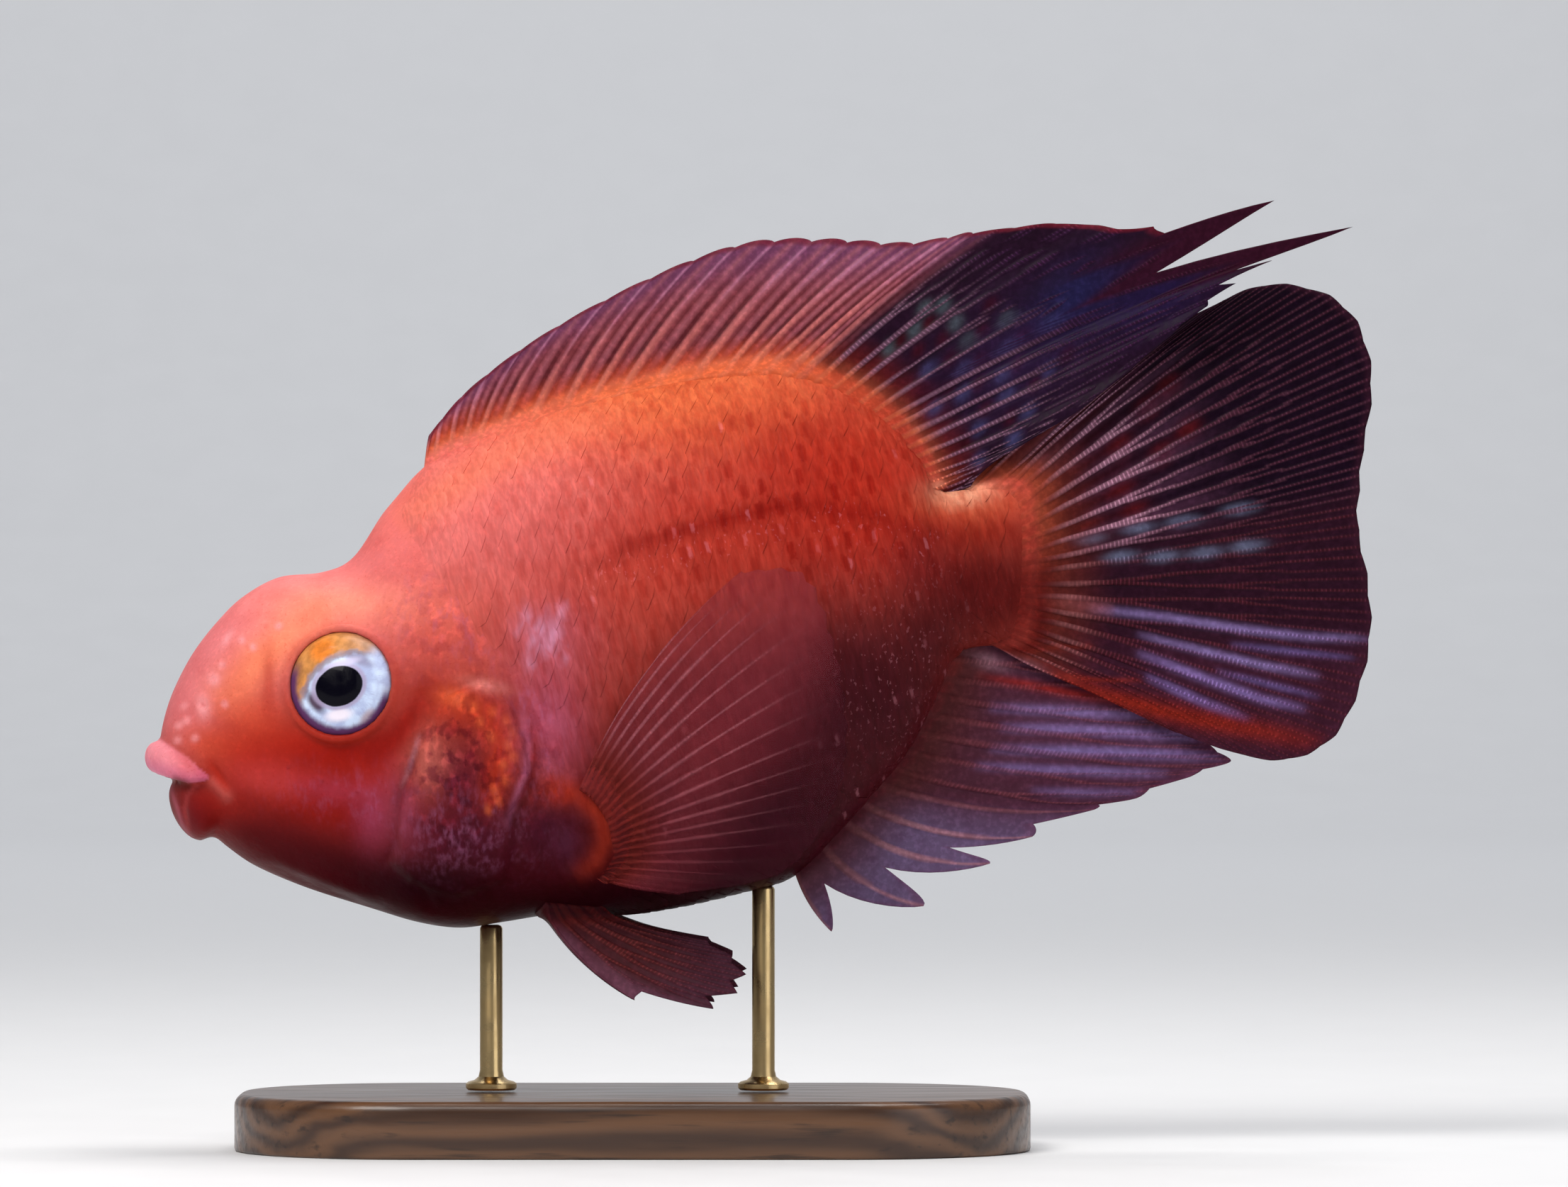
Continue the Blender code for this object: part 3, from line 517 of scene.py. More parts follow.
@dataclass(frozen=True)
class FinFinish:
    """A fin: painted web and rays, the soft rays crossed by fine joints."""

    name: str = "fin_web"
    joint_pitch: float = 0.62
    joint_depth: float = 0.00012

    def make(self) -> bpy.types.Material:
        """Builds the finish."""
        w = Wiring(self.name)
        w.fix(IOR=1.38, Specular_IOR_Level=0.08)
        across, along = w.unwrapped("Fin")
        tint, ray = w.colour("Tint"), w.number("Ray")
        wander = w.sum("MULTIPLY", w.noise(160, 2), 6.0)
        turns = w.sum("MULTIPLY_ADD", along, 2 * math.pi / self.joint_pitch, wander)
        joint = w.step(w.sum("SINE", turns), -0.2, 0.9)
        joints = w.sum("MULTIPLY", w.sum("MULTIPLY", joint, w.number("Joint")), ray)
        fibres = w.noise(1400, 3)
        web = w.blend(w.step(w.noise(420, 4), 0.35, 0.75, 0.0, 0.4), tint, (0.6, 0.4, 0.5), "MULTIPLY")
        beads = w.gain(web, joints, 1.0, 1.75)
        gap = w.sum("MULTIPLY", w.sum("SUBTRACT", ray, joints), w.sum("MULTIPLY", w.number("Joint"), 0.45))
        shaded = w.blend(gap, beads, (0.45, 0.3, 0.4), "MULTIPLY")
        speckled = w.gain(shaded, w.step(fibres, 0.4, 0.75), 0.88, 1.25)
        w.feed(w.shader.inputs["Alpha"], w.number("Veil"))
        relief = w.bump(joints, self.joint_depth, 0.6, w.bump(fibres, 0.00005, 0.5))
        return w.done(speckled, w.step(fibres, 0.3, 0.7, 0.38, 0.52), relief)


@dataclass(frozen=True)
class EyeFinish:
    """The eye under its clear cornea: black pupil, silver-blue iris, amber above, violet edge below.

    Its map has the middle of the eye as it is seen at (0, 0) and the lids at a distance of 1.
    """

    name: str = "eye"
    pupil: tuple[float, float] = (0.465, 0.372)
    pupil_place: tuple[float, float] = (-0.035, -0.044)
    pupil_tilt: float = 20.0

    def make(self) -> bpy.types.Material:
        """Builds the finish."""
        w = Wiring(self.name)
        w.fix(IOR=1.4, Specular_IOR_Level=0.08, Coat_Weight=0.12, Coat_Roughness=0.04, Coat_IOR=1.38)
        flat = w.node("UVMap", uv_map="Eye").outputs["UV"]
        x, y = w.unwrapped("Eye")
        wobble = w.sum("MULTIPLY_ADD", w.noise(700, 4), 0.16, -0.08)
        radius = w.sum("ADD", self.distance(w, flat, (0, 0), (1, 1)), w.sum("MULTIPLY", wobble, 0.5))
        pupil = self.distance(w, flat, self.pupil_place, self.pupil, self.pupil_tilt)
        pupil = w.sum("ADD", pupil, w.sum("MULTIPLY", wobble, 0.35))
        spokes = w.node("CombineXYZ")
        w.feed(spokes.inputs[0], w.sum("MULTIPLY", w.sum("ARCTAN2", y, x), 9.0))
        w.feed(spokes.inputs[1], w.sum("MULTIPLY", radius, 2.2))
        fibres = w.noise(3.0, 4, spokes.outputs[0])
        cloud = w.step(w.noise(420, 4), 0.35, 0.65)
        silver = w.blend(cloud, (0.44, 0.51, 0.76), (0.66, 0.78, 1.0))
        iris = w.blend(w.step(fibres, 0.5, 0.8, 0.0, 0.35), silver, (0.24, 0.28, 0.48))
        iris = w.blend(self.spot(w, flat, (0.34, 0.50), (0.42, 0.15), -25, 0.8), iris, (0.27, 0.25, 0.38))
        iris = w.blend(self.spot(w, flat, (-0.76, -0.02), (0.16, 0.24), 15, 0.7), iris, (0.30, 0.28, 0.44))
        # painted highlight: a near-white spot below the pupil
        iris = w.blend(self.spot(w, flat, (-0.04, -0.60), (0.34, 0.16), 10, 0.9), iris, (0.95, 0.86, 0.96))
        iris = w.blend(self.spot(w, flat, (0.55, -0.66), (0.26, 0.16), 50, 0.75), iris, (0.42, 0.27, 0.30))
        facing = w.sum("ADD", w.sum("MULTIPLY", y, 0.82), w.sum("MULTIPLY", x, -0.57))
        facing = w.sum("DIVIDE", facing, w.sum("MAXIMUM", radius, 0.05))
        inner = w.sum("MULTIPLY_ADD", facing, -0.36, 0.86)
        away = w.sum("SUBTRACT", w.sum("ADD", radius, wobble), inner)
        amber_share = w.sum("MULTIPLY", w.step(away, -0.07, 0.11), w.step(facing, -0.02, 0.34))
        amber = w.blend(w.step(x, -0.1, 0.75), (0.62, 0.26, 0.075), (0.52, 0.30, 0.20))
        amber = w.blend(self.spot(w, flat, (-0.36, 0.66), (0.34, 0.24), 40, 1.0), amber, (0.74, 0.21, 0.030))
        amber = w.blend(self.spot(w, flat, (-0.86, 0.20), (0.16, 0.34), -10, 0.8), amber, (0.36, 0.15, 0.06))
        amber = w.gain(amber, w.step(w.noise(900, 4), 0.3, 0.7), 0.78, 1.12)
        seam = w.sum("MULTIPLY", w.step(w.sum("ABSOLUTE", away), 0.10, 0.02), w.step(facing, 0.0, 0.4, 0.0, 0.6))
        gilded = w.blend(seam, w.blend(amber_share, iris, amber), (0.19, 0.13, 0.15))
        # painted shadow: a dark crescent at the lower left of the pupil
        crescent = self.spot(w, flat, (-0.50, -0.36), (0.30, 0.15), -52, 0.95)
        shaded = w.blend(crescent, gilded, (0.065, 0.025, 0.055))
        ring = w.blend(w.step(pupil, 1.30, 1.12, 0.0, 0.75), shaded, (0.42, 0.34, 0.52))
        lit = w.blend(self.spot(w, flat, (0.05, 0.40), (0.42, 0.10), 14, 0.8), ring, (0.66, 0.62, 0.84))
        low = w.step(w.sum("ADD", y, w.sum("MULTIPLY", x, 0.25)), 0.30, -0.15)
        violet = w.sum("MULTIPLY", w.step(radius, 0.79, 0.92), low)
        edged = w.blend(violet, lit, (0.11, 0.035, 0.12))
        # the outer rim is violet below, the eye's own colour, and orange-brown above, a painted shade where the eye
        # meets the lid
        rim = w.blend(w.step(y, -0.35, 0.45), (0.11, 0.035, 0.11), (0.34, 0.10, 0.035))
        outer = w.blend(w.step(radius, 0.96, 1.06), edged, rim)
        colour = w.blend(w.step(pupil, 1.06, 0.99), outer, (0.0012, 0.0008, 0.004))
        relief = w.bump(fibres, 0.0001, 0.25)
        return w.done(colour, w.step(pupil, 1.1, 0.95, 0.3, 0.22), relief)

    @staticmethod
    def distance(
        w: Wiring, flat: object, place: tuple[float, float], size: tuple[float, float], tilt: float = 0.0
    ) -> bpy.types.NodeSocket:
        """How far a point of the map lies from an oval's middle, 1 at its edge.

        Args:
            w: The finish under way.
            flat: The map.
            place: The oval's middle.
            size: Its half length and half width.
            tilt: How far its length is turned up to the right, in degrees.

        Returns:
            The distance.
        """
        turn = w.node("Mapping", vector_type="TEXTURE")
        w.feed(turn.inputs["Vector"], flat)
        turn.inputs["Location"].default_value = (*place, 0)
        turn.inputs["Rotation"].default_value = (0, 0, math.radians(tilt))
        turn.inputs["Scale"].default_value = (*size, 1)
        length = w.node("VectorMath", operation="LENGTH")
        w.feed(length.inputs[0], turn.outputs[0])
        return length.outputs["Value"]

    def spot(
        self, w: Wiring, flat: object, place: tuple[float, float], size: tuple[float, float],
        tilt: float, strength: float,
    ) -> bpy.types.NodeSocket:
        """A soft oval of the map, from its strength in the middle to 0 at its edge."""
        return w.step(self.distance(w, flat, place, size, tilt), 1.15, 0.35, 0.0, strength)


@dataclass(frozen=True)
class WalnutFinish:
    """Oiled walnut, its grain along X."""

    name: str = "walnut"

    def make(self) -> bpy.types.Material:
        """Builds the finish."""
        w = Wiring(self.name)
        w.fix(IOR=1.45, Coat_Weight=0.25, Coat_Roughness=0.18)
        rings = w.node("TexWave", wave_type="RINGS", rings_direction="X")
        turn = w.node("Mapping")
        w.feed(turn.inputs["Vector"], w.place())
        turn.inputs["Location"].default_value = (0.0, 0.021, -0.012)
        turn.inputs["Scale"].default_value = (0.12, 1.0, 1.0)
        w.feed(rings.inputs["Vector"], turn.outputs[0])
        for key, setting in (("Scale", 95.0), ("Distortion", 5.0), ("Detail", 3.0), ("Detail Scale", 1.6)):
            rings.inputs[key].default_value = setting
        grain = w.noise(900, 4, squeeze=(0.07, 1.0, 1.0))
        wood = w.blend(rings.outputs["Fac"], (0.045, 0.018, 0.008), (0.13, 0.058, 0.025))
        pores = w.blend(w.step(grain, 0.55, 0.72, 0.0, 0.7), wood, (0.016, 0.007, 0.004))
        return w.done(pores, w.step(grain, 0.3, 0.8, 0.28, 0.46), w.bump(grain, 0.00015, 0.4))


@dataclass(frozen=True)
class BrassFinish:
    """Brushed brass, dulled a little by handling."""

    name: str = "brass"

    def make(self) -> bpy.types.Material:
        """Builds the finish."""
        w = Wiring(self.name)
        w.fix(Metallic=1.0)
        brushed = w.noise(4000, 2, squeeze=(1.0, 1.0, 0.05))
        dull = w.noise(180, 3)
        colour = w.blend(w.step(dull, 0.4, 0.75, 0.0, 0.5), (0.70, 0.50, 0.24), (0.42, 0.28, 0.12))
        return w.done(colour, w.step(dull, 0.3, 0.7, 0.2, 0.36), w.bump(brushed, 0.00003, 0.5))


@dataclass(frozen=True)
class FloorFinish:
    """A plain pale studio floor."""

    name: str = "studio_floor"

    def make(self) -> bpy.types.Material:
        """Builds the finish."""
        w = Wiring(self.name)
        grain = w.noise(60, 4)
        colour = w.blend(w.step(grain, 0.2, 0.8), (0.755, 0.76, 0.775), (0.77, 0.775, 0.79))
        return w.done(colour, w.step(grain, 0.3, 0.7, 0.6, 0.7))


@dataclass
class BodyForm:
    """The fish's body as a loft through sections, and the bend of its midline, in millimetres.

    A section is (back x, back z, belly x, belly z, half width, level of the widest point, crown,
    keel): crown and keel say how square its upper and lower halves are.
    """

    sections: tuple[Row, ...] = (
        (-84.0, 54.8, -84.0, 54.8, 0.0, 0.50, 2.0, 2.0),
        (-84.4, 57.6, -83.0, 52.2, 3.9, 0.50, 2.0, 2.0),
        (-83.7, 61.4, -81.2, 47.8, 6.1, 0.50, 2.0, 2.0),
        (-82.3, 65.3, -79.4, 44.8, 7.7, 0.50, 2.1, 2.0),
        (-79.8, 70.0, -77.0, 44.2, 9.3, 0.50, 2.1, 2.0),
        (-76.5, 74.3, -75.0, 42.6, 11.0, 0.50, 2.2, 2.0),
        (-72.8, 77.9, -71.0, 39.9, 12.9, 0.50, 2.2, 2.0),
        (-67.8, 80.6, -64.0, 36.9, 15.0, 0.49, 2.2, 2.1),
        (-61.8, 81.3, -55.3, 34.1, 17.0, 0.47, 2.2, 2.1),
        (-57.4, 83.4, -48.3, 32.0, 18.4, 0.45, 2.1, 2.2),
        (-52.8, 90.2, -42.3, 31.2, 19.4, 0.43, 1.95, 2.2),
        (-47.3, 96.5, -36.3, 32.0, 20.0, 0.42, 1.85, 2.2),
        (-39.3, 100.4, -29.3, 33.0, 20.1, 0.42, 1.75, 2.2),
        (-29.3, 104.1, -21.3, 32.8, 19.8, 0.42, 1.75, 2.2),
        (-18.3, 107.3, -12.3, 33.9, 19.0, 0.42, 1.7, 2.1),
        (-7.3, 109.5, -2.3, 36.2, 17.7, 0.43, 1.65, 2.0),
        (2.7, 110.3, 4.7, 38.5, 15.9, 0.44, 1.6, 1.9),
        (11.7, 108.0, 10.7, 44.2, 13.6, 0.46, 1.65, 1.9),
        (18.2, 103.2, 15.9, 50.0, 11.4, 0.48, 1.75, 1.9),
        (22.5, 97.7, 20.7, 55.8, 9.3, 0.50, 2.0, 2.0),
        (24.9, 93.3, 24.5, 63.0, 7.4, 0.50, 2.0, 2.0),
        (27.7, 93.0, 27.5, 69.2, 5.9, 0.50, 2.0, 2.0),
        (31.2, 93.2, 31.2, 70.9, 4.7, 0.50, 2.0, 2.0),
        (34.7, 93.6, 34.7, 71.2, 3.6, 0.50, 2.0, 2.0),
        (37.3, 92.0, 36.9, 73.0, 1.9, 0.50, 2.0, 2.0),
        (37.9, 82.5, 37.9, 82.5, 0.0, 0.50, 2.0, 2.0),
    )
    head_bend_from: float = -20.0
    head_bend: float = 0.0020
    tail_bend_from: float = 18.0
    tail_bend: float = 0.0014
    camera: tuple[float, float, float] = (3.3, -1500.0, 78.3)

    def loft(self, share: Array, angle: Array) -> Array:
        """Points of the straight body.

        Args:
            share: The share of the way from the nose to the tail.
            angle: The angle round the section, 90 degrees at the back.

        Returns:
            One point for each pair.
        """
        rows = np.array(self.sections)
        tx, tz, bx, bz, width, level, crown, keel = spline(rows, share * (len(rows) - 1)).T
        across, up = np.cos(angle), np.sin(angle)
        power = 2 / np.where(up > 0, crown, keel)
        y = np.sign(across) * np.abs(across) ** power * np.maximum(width, 0)
        rise = np.sign(up) * np.abs(up) ** power
        height = level + rise * np.where(up > 0, 1 - level, level)
        return np.column_stack([bx + (tx - bx) * height, y, bz + (tz - bz) * height])

    def solid(self, name: str, sides: int, rings: int) -> bpy.types.Object:
        """The whole straight body as one closed piece."""
        piece, share, angle = Bench.ball(name, sides, rings)
        Bench.put(piece, self.loft(share, angle))
        Bench.outwards(piece)
        return piece

    def bend(self, places: Array) -> Array:
        """Where points of the straight fish lie once its midline is bent."""
        x, y, z = places.T
        ahead = np.maximum(0, self.head_bend_from - x)
        behind = np.maximum(0, x - self.tail_bend_from)
        turn = self.head_bend * ahead + self.tail_bend * behind
        middle = (self.tail_bend * behind**2 - self.head_bend * ahead**2) / 2
        return np.column_stack([x - y * np.sin(turn), middle + y * np.cos(turn), z])

    def portrait(self, places: Array) -> Array:
        """Points of the straight fish on the portrait plane, its right side mirrored to the left."""
        near = places.copy()
        near[:, 1] = -np.abs(near[:, 1])
        x, y, z = self.bend(near).T
        eye_x, eye_y, eye_z = self.camera
        shrink = 1 / (1 - y / eye_y)
        return np.column_stack([eye_x + (x - eye_x) * shrink, eye_z + (z - eye_z) * shrink])

    def settle(self, piece: bpy.types.Object) -> None:
        """Bends a finished piece with the fish and turns it into metres."""
        Bench.put(piece, self.bend(Bench.places(piece)) * MM)


@dataclass(frozen=True)
class Patch:
    """A soft patch of one colour on the portrait plane, like one pass of an airbrush."""

    x: float
    z: float
    wide: float
    tall: float
    tilt: float
    colour: Colour
    strength: float = 0.8
    firm: float = 1.0

    def cover(self, at: Array) -> Array:
        """How much of the patch lies on each point."""
        turn = math.radians(self.tilt)
        dx, dz = at[:, 0] - self.x, at[:, 1] - self.z
        along = (dx * math.cos(turn) + dz * math.sin(turn)) / self.wide
        over = (dz * math.cos(turn) - dx * math.sin(turn)) / self.tall
        return self.strength * np.exp(-((along**2 + over**2) ** self.firm))


@dataclass(frozen=True)
class Stroke:
    """A soft band of one colour drawn along a line of the portrait plane."""

    line: tuple[tuple[float, float], ...]
    wide: float
    colour: Colour
    strength: float = 0.8

    def cover(self, at: Array) -> Array:
        """How much of the stroke lies on each point."""
        gap, share = polyline(at, list(self.line))
        ends = np.sin(np.pi * np.clip(share, 0.001, 0.999)) ** 0.5
        return self.strength * ends * np.exp(-((gap / self.wide) ** 2))


def dabs(
    places: tuple[tuple[float, float], ...], wide: float, tall: float, tilt: float, colour: Colour,
    strength: float = 0.85,
) -> tuple[Patch, ...]:
    """Small patches of one shape and colour at several places."""
    return tuple(Patch(x, z, wide, tall, tilt, colour, strength, 1.3) for x, z in places)


@dataclass(frozen=True)
class Fold:
    """A crease or ridge along a line of the portrait plane."""

    line: tuple[tuple[float, float], ...]
    width: float
    height: float
    fade: Fade = Fade.SOFT

    def lift(self, at: Array) -> Array:
        """How far the fold raises each point."""
        gap, share = polyline(at, list(self.line))
        ends = np.sin(np.pi * np.clip(share, 0.001, 0.999)) ** 0.6 if self.fade is Fade.SOFT else 1.0
        return self.height * np.exp(-((gap / self.width) ** 2)) * ends


class Palette:
    """The fish's colours, by name, among them painted shade (SHADOW) and a cream painted highlight."""

    PEACH: Colour = (0.62, 0.092, 0.032)
    ROSE: Colour = (0.76, 0.165, 0.15)
    BLUSH: Colour = (0.74, 0.195, 0.21)
    PETAL: Colour = (0.90, 0.36, 0.38)
    APRICOT: Colour = (0.93, 0.27, 0.17)
    TANGERINE: Colour = (0.90, 0.20, 0.085)
    CORAL: Colour = (0.66, 0.088, 0.042)
    SALMON: Colour = (0.55, 0.075, 0.05)
    BRICK: Colour = (0.42, 0.026, 0.012)
    RUST: Colour = (0.50, 0.055, 0.024)
    CRIMSON: Colour = (0.40, 0.015, 0.006)
    OXBLOOD: Colour = (0.24, 0.005, 0.002)
    GARNET: Colour = (0.17, 0.005, 0.004)
    MAROON: Colour = (0.10, 0.005, 0.007)
    DAMSON: Colour = (0.12, 0.008, 0.019)
    PLUM: Colour = (0.045, 0.003, 0.008)
    SHADOW: Colour = (0.014, 0.0004, 0.003)
    MAUVE: Colour = (0.32, 0.055, 0.10)
    LILAC: Colour = (0.54, 0.17, 0.32)
    EMBER: Colour = (0.38, 0.028, 0.009)
    FLAME: Colour = (0.66, 0.11, 0.035)
    # painted highlight colour, laid along the top of the tail stalk
    HIGHLIGHT_CREAM: Colour = (0.95, 0.45, 0.28)


@dataclass
class Markings:
    """The colours of skin and scales alike, as patches laid one over another, painted light and shade among them."""

    body: BodyForm
    high: float = 96.0
    low: float = 36.0
    lateral_line: tuple[tuple[float, float], ...] = (
        (-26.9, 80.4), (-19.0, 84.6), (-11.8, 86.8), (-3.3, 88.9), (1.7, 90.4), (8.7, 90.7), (18.3, 88.6),
        (24.6, 86.4),
    )
    patches: tuple[Patch | Stroke, ...] = (
        # lighter orange over the back and along its top edge: partly the fish's own colour, partly painted light from
        # above
        Patch(-12.0, 104.5, 42.0, 8.5, 8.0, Palette.PEACH, 1.0, 1.4),
        Patch(13.0, 101.0, 12.0, 8.0, -45.0, Palette.RUST, 0.7),
        Stroke(((-48.0, 94.0), (-40.0, 99.5), (-20.0, 105.6), (0.0, 109.0), (10.0, 107.5)), 4.0, (0.72, 0.150, 0.050), 0.85),
        Patch(-47.0, 88.0, 15.0, 19.0, -40.0, Palette.ROSE, 0.95, 1.3),
        Stroke(((-52.0, 88.0), (-45.0, 92.4), (-37.0, 97.0), (-28.0, 101.0), (-18.0, 104.0)), 3.0, (0.80, 0.185, 0.085), 0.7),
        Patch(-30.0, 92.0, 13.0, 9.0, 10.0, Palette.ROSE, 0.6),
        Patch(-46.0, 74.5, 8.0, 6.5, 0.0, Palette.SALMON, 0.6),
        Patch(-69.0, 74.0, 17.0, 10.0, 22.0, Palette.BLUSH, 1.0, 1.6),
        Patch(-81.0, 62.5, 8.0, 5.5, 65.0, Palette.BLUSH, 0.85),
        Patch(-60.0, 76.5, 10.0, 3.5, 0.0, Palette.APRICOT, 0.8),
        Stroke(((-60.0, 75.5), (-66.0, 72.5), (-71.0, 68.5), (-74.5, 64.0), (-75.5, 60.0)), 3.6, (0.92, 0.245, 0.115), 0.85),
        Patch(-71.5, 60.5, 5.5, 4.5, 0.0, Palette.CORAL, 0.8),
        Patch(-77.0, 56.6, 5.5, 3.0, -15.0, Palette.CORAL, 0.85),
        Patch(-72.5, 54.5, 5.0, 3.4, 0.0, Palette.BRICK, 0.7),
        Patch(-63.0, 54.5, 13.0, 6.0, -10.0, Palette.CRIMSON, 0.95, 1.3),
        Patch(-62.0, 48.5, 12.5, 4.2, -14.0, Palette.OXBLOOD, 0.9),
        # painted shadow under the eye
        Patch(-57.5, 56.5, 8.5, 2.8, 12.0, Palette.OXBLOOD, 0.85),
        Patch(-69.4, 66.5, 1.1, 4.4, 0.0, Palette.BRICK, 0.6),
        Patch(-76.6, 47.8, 4.8, 3.8, -10.0, (0.36, 0.014, 0.007), 0.9),
        Patch(-69.3, 52.2, 6.0, 2.6, -8.0, (0.52, 0.045, 0.040), 0.7),
        Patch(-80.8, 45.8, 2.6, 3.4, -15.0, (0.17, 0.006, 0.012), 0.8),
        # darker under the jaw and throat: partly their own deep red, partly painted shade on the underside
        Patch(-69.0, 43.0, 12.0, 3.4, -22.0, (0.115, 0.001, 0.002), 0.85),
        Patch(-58.0, 38.4, 17.0, 3.6, -17.0, (0.055, 0.0004, 0.003), 0.9, 1.3),
        Patch(-54.8, 46.6, 2.4, 4.2, 0.0, (0.38, 0.060, 0.14), 0.45),
        Patch(-60.0, 50.6, 6.0, 1.8, -8.0, (0.34, 0.035, 0.07), 0.5),
        Patch(-50.4, 47.5, 2.6, 6.0, 6.0, Palette.MAUVE, 0.65),
        Patch(-43.5, 62.5, 6.0, 4.0, -10.0, Palette.EMBER, 0.8),
        Patch(-46.6, 54.5, 3.2, 4.6, 20.0, (0.52, 0.13, 0.10), 0.75),
        Patch(-42.3, 51.0, 4.4, 6.4, -8.0, Palette.DAMSON, 0.9),
        Patch(-41.0, 43.0, 8.5, 4.2, 0.0, (0.08, 0.006, 0.022), 0.9),
        Patch(-45.5, 37.0, 12.0, 4.2, 0.0, Palette.SHADOW, 0.93, 1.3),
        Stroke(((-42.5, 63.0), (-38.2, 61.5), (-36.6, 57.5), (-37.2, 53.0), (-38.4, 48.0)), 1.9, Palette.EMBER, 0.95),
        Stroke(((-46.0, 66.5), (-51.2, 58.2), (-56.5, 53.6)), 2.0, Palette.OXBLOOD, 0.85),
        # painted highlights on the wet, lumpy top and rear edge of the gill cover
        Patch(-43.0, 63.6, 2.6, 1.3, -15.0, Palette.FLAME, 0.7),
        Patch(-38.6, 65.3, 3.2, 0.9, -12.0, (0.74, 0.24, 0.20), 0.7),
        *dabs(
            ((-35.8, 60.4), (-35.0, 58.8), (-35.6, 57.0), (-34.9, 55.3), (-36.3, 54.2), (-36.0, 52.0), (-37.5, 50.6),
             (-37.0, 49.0), (-38.4, 47.8), (-37.8, 61.6), (-39.6, 60.2), (-38.0, 58.2), (-40.6, 62.3)),
            0.55, 0.8, 12.0, Palette.FLAME, 0.6,
        ),
        # painted highlight on the edge of the crease before the gill cover
        Stroke(((-48.1, 58.5), (-49.4, 54.0), (-50.8, 50.6)), 0.35, (0.50, 0.22, 0.27), 0.6),
        Stroke(((-34.0, 62.0), (-32.8, 58.0), (-32.9, 53.5), (-34.6, 49.0), (-36.2, 45.0)), 0.55, Palette.LILAC, 0.45),
        Patch(-29.5, 72.0, 6.5, 6.5, -30.0, (0.52, 0.11, 0.15), 0.6),
        Patch(-30.3, 72.3, 2.2, 2.6, -30.0, (0.56, 0.20, 0.32), 0.5),
        *dabs(
            ((-31.2, 73.6), (-30.1, 72.4), (-29.3, 71.2), (-30.9, 70.6), (-28.6, 73.2), (-32.0, 71.9), (-29.8, 74.6),
             (-33.0, 75.4), (-27.8, 75.8), (-32.6, 68.6), (-34.6, 73.4), (-28.0, 69.2)),
            0.6, 1.1, 14.0, (0.66, 0.34, 0.52), 0.5,
        ),
        Patch(-29.6, 60.0, 4.6, 7.5, 10.0, (0.42, 0.078, 0.14), 0.75),
        Patch(-28.5, 50.4, 2.4, 2.2, 0.0, (0.45, 0.04, 0.015), 0.75),
        Patch(-30.4, 44.5, 4.4, 4.2, 0.0, (0.06, 0.004, 0.02), 0.85),
        Patch(-2.0, 88.0, 26.0, 11.0, 10.0, Palette.BRICK, 0.75, 1.2),
        Patch(15.0, 89.0, 12.0, 12.0, -40.0, Palette.CRIMSON, 0.7),
        Patch(6.0, 98.0, 11.0, 4.6, -8.0, (0.36, 0.014, 0.005), 0.6),
        Patch(-33.0, 85.0, 10.0, 5.0, 12.0, (0.50, 0.075, 0.075), 0.5),
        Patch(-1.0, 62.0, 15.0, 12.0, 0.0, Palette.DAMSON, 0.75),
        Patch(32.0, 78.5, 10.5, 8.5, 0.0, (0.09, 0.003, 0.003), 0.95, 1.6),
        Patch(31.0, 87.0, 9.0, 2.6, 0.0, (0.24, 0.014, 0.005), 0.8),
        # painted highlight: an orange band along the top of the tail stalk, under the cream line
        Patch(29.5, 91.0, 8.0, 2.2, 0.0, (0.50, 0.070, 0.022), 0.85),
        Patch(23.5, 72.0, 6.5, 7.5, 0.0, (0.05, 0.002, 0.004), 0.75),
        Patch(22.5, 82.5, 5.0, 5.0, 0.0, (0.15, 0.004, 0.006), 0.6),
        # painted highlight: a cream line along the top edge of the tail stalk
        Patch(28.2, 92.6, 4.2, 1.7, 0.0, Palette.HIGHLIGHT_CREAM, 0.95),
        # darker towards the belly: partly its own plum colour, partly painted shade on the underside
        Patch(16.0, 64.0, 18.0, 13.0, -45.0, Palette.PLUM, 0.93, 1.3),
        Patch(-4.0, 42.0, 36.0, 10.0, 8.0, Palette.PLUM, 0.9, 1.2),
        Patch(-14.0, 35.0, 36.0, 4.5, 5.0, Palette.SHADOW, 0.92, 1.3),
        Patch(6.0, 50.0, 14.0, 8.0, 20.0, (0.020, 0.002, 0.008), 0.5, 1.2),
        Stroke(((-31.0, 50.4), (-25.5, 49.8), (-22.6, 47.2), (-21.8, 43.5), (-23.3, 40.3), (-26.5, 38.4)), 1.5, (0.27, 0.020, 0.007), 0.85),
        Patch(-27.5, 43.2, 1.8, 2.8, 0.0, (0.09, 0.015, 0.04), 0.7),
        # small pale spots on the snout and forehead: painted highlights
        *dabs(((-81.3, 62.5), (-82.1, 59.7), (-82.3, 57.6), (-79.8, 57.9), (-81.0, 60.4)), 0.65, 0.55, 30.0, Palette.PETAL, 0.5),
        *dabs(((-75.6, 62.7), (-76.0, 68.2), (-73.2, 71.7), (-71.6, 70.7), (-68.0, 73.7)), 0.5, 0.55, 0.0, Palette.PETAL, 0.6),
        Patch(-78.7, 62.4, 0.95, 1.6, 8.0, Palette.PETAL, 0.75),
        Patch(-77.1, 66.2, 0.85, 0.9, 0.0, Palette.PETAL, 0.7),
        Patch(-75.3, 71.9, 0.5, 1.4, -30.0, Palette.PETAL, 0.55),
    )

    def paint(self, places: Array) -> Array:
        """The colour at each point of the straight fish, painted light and shade included."""
        at = self.body.portrait(places)
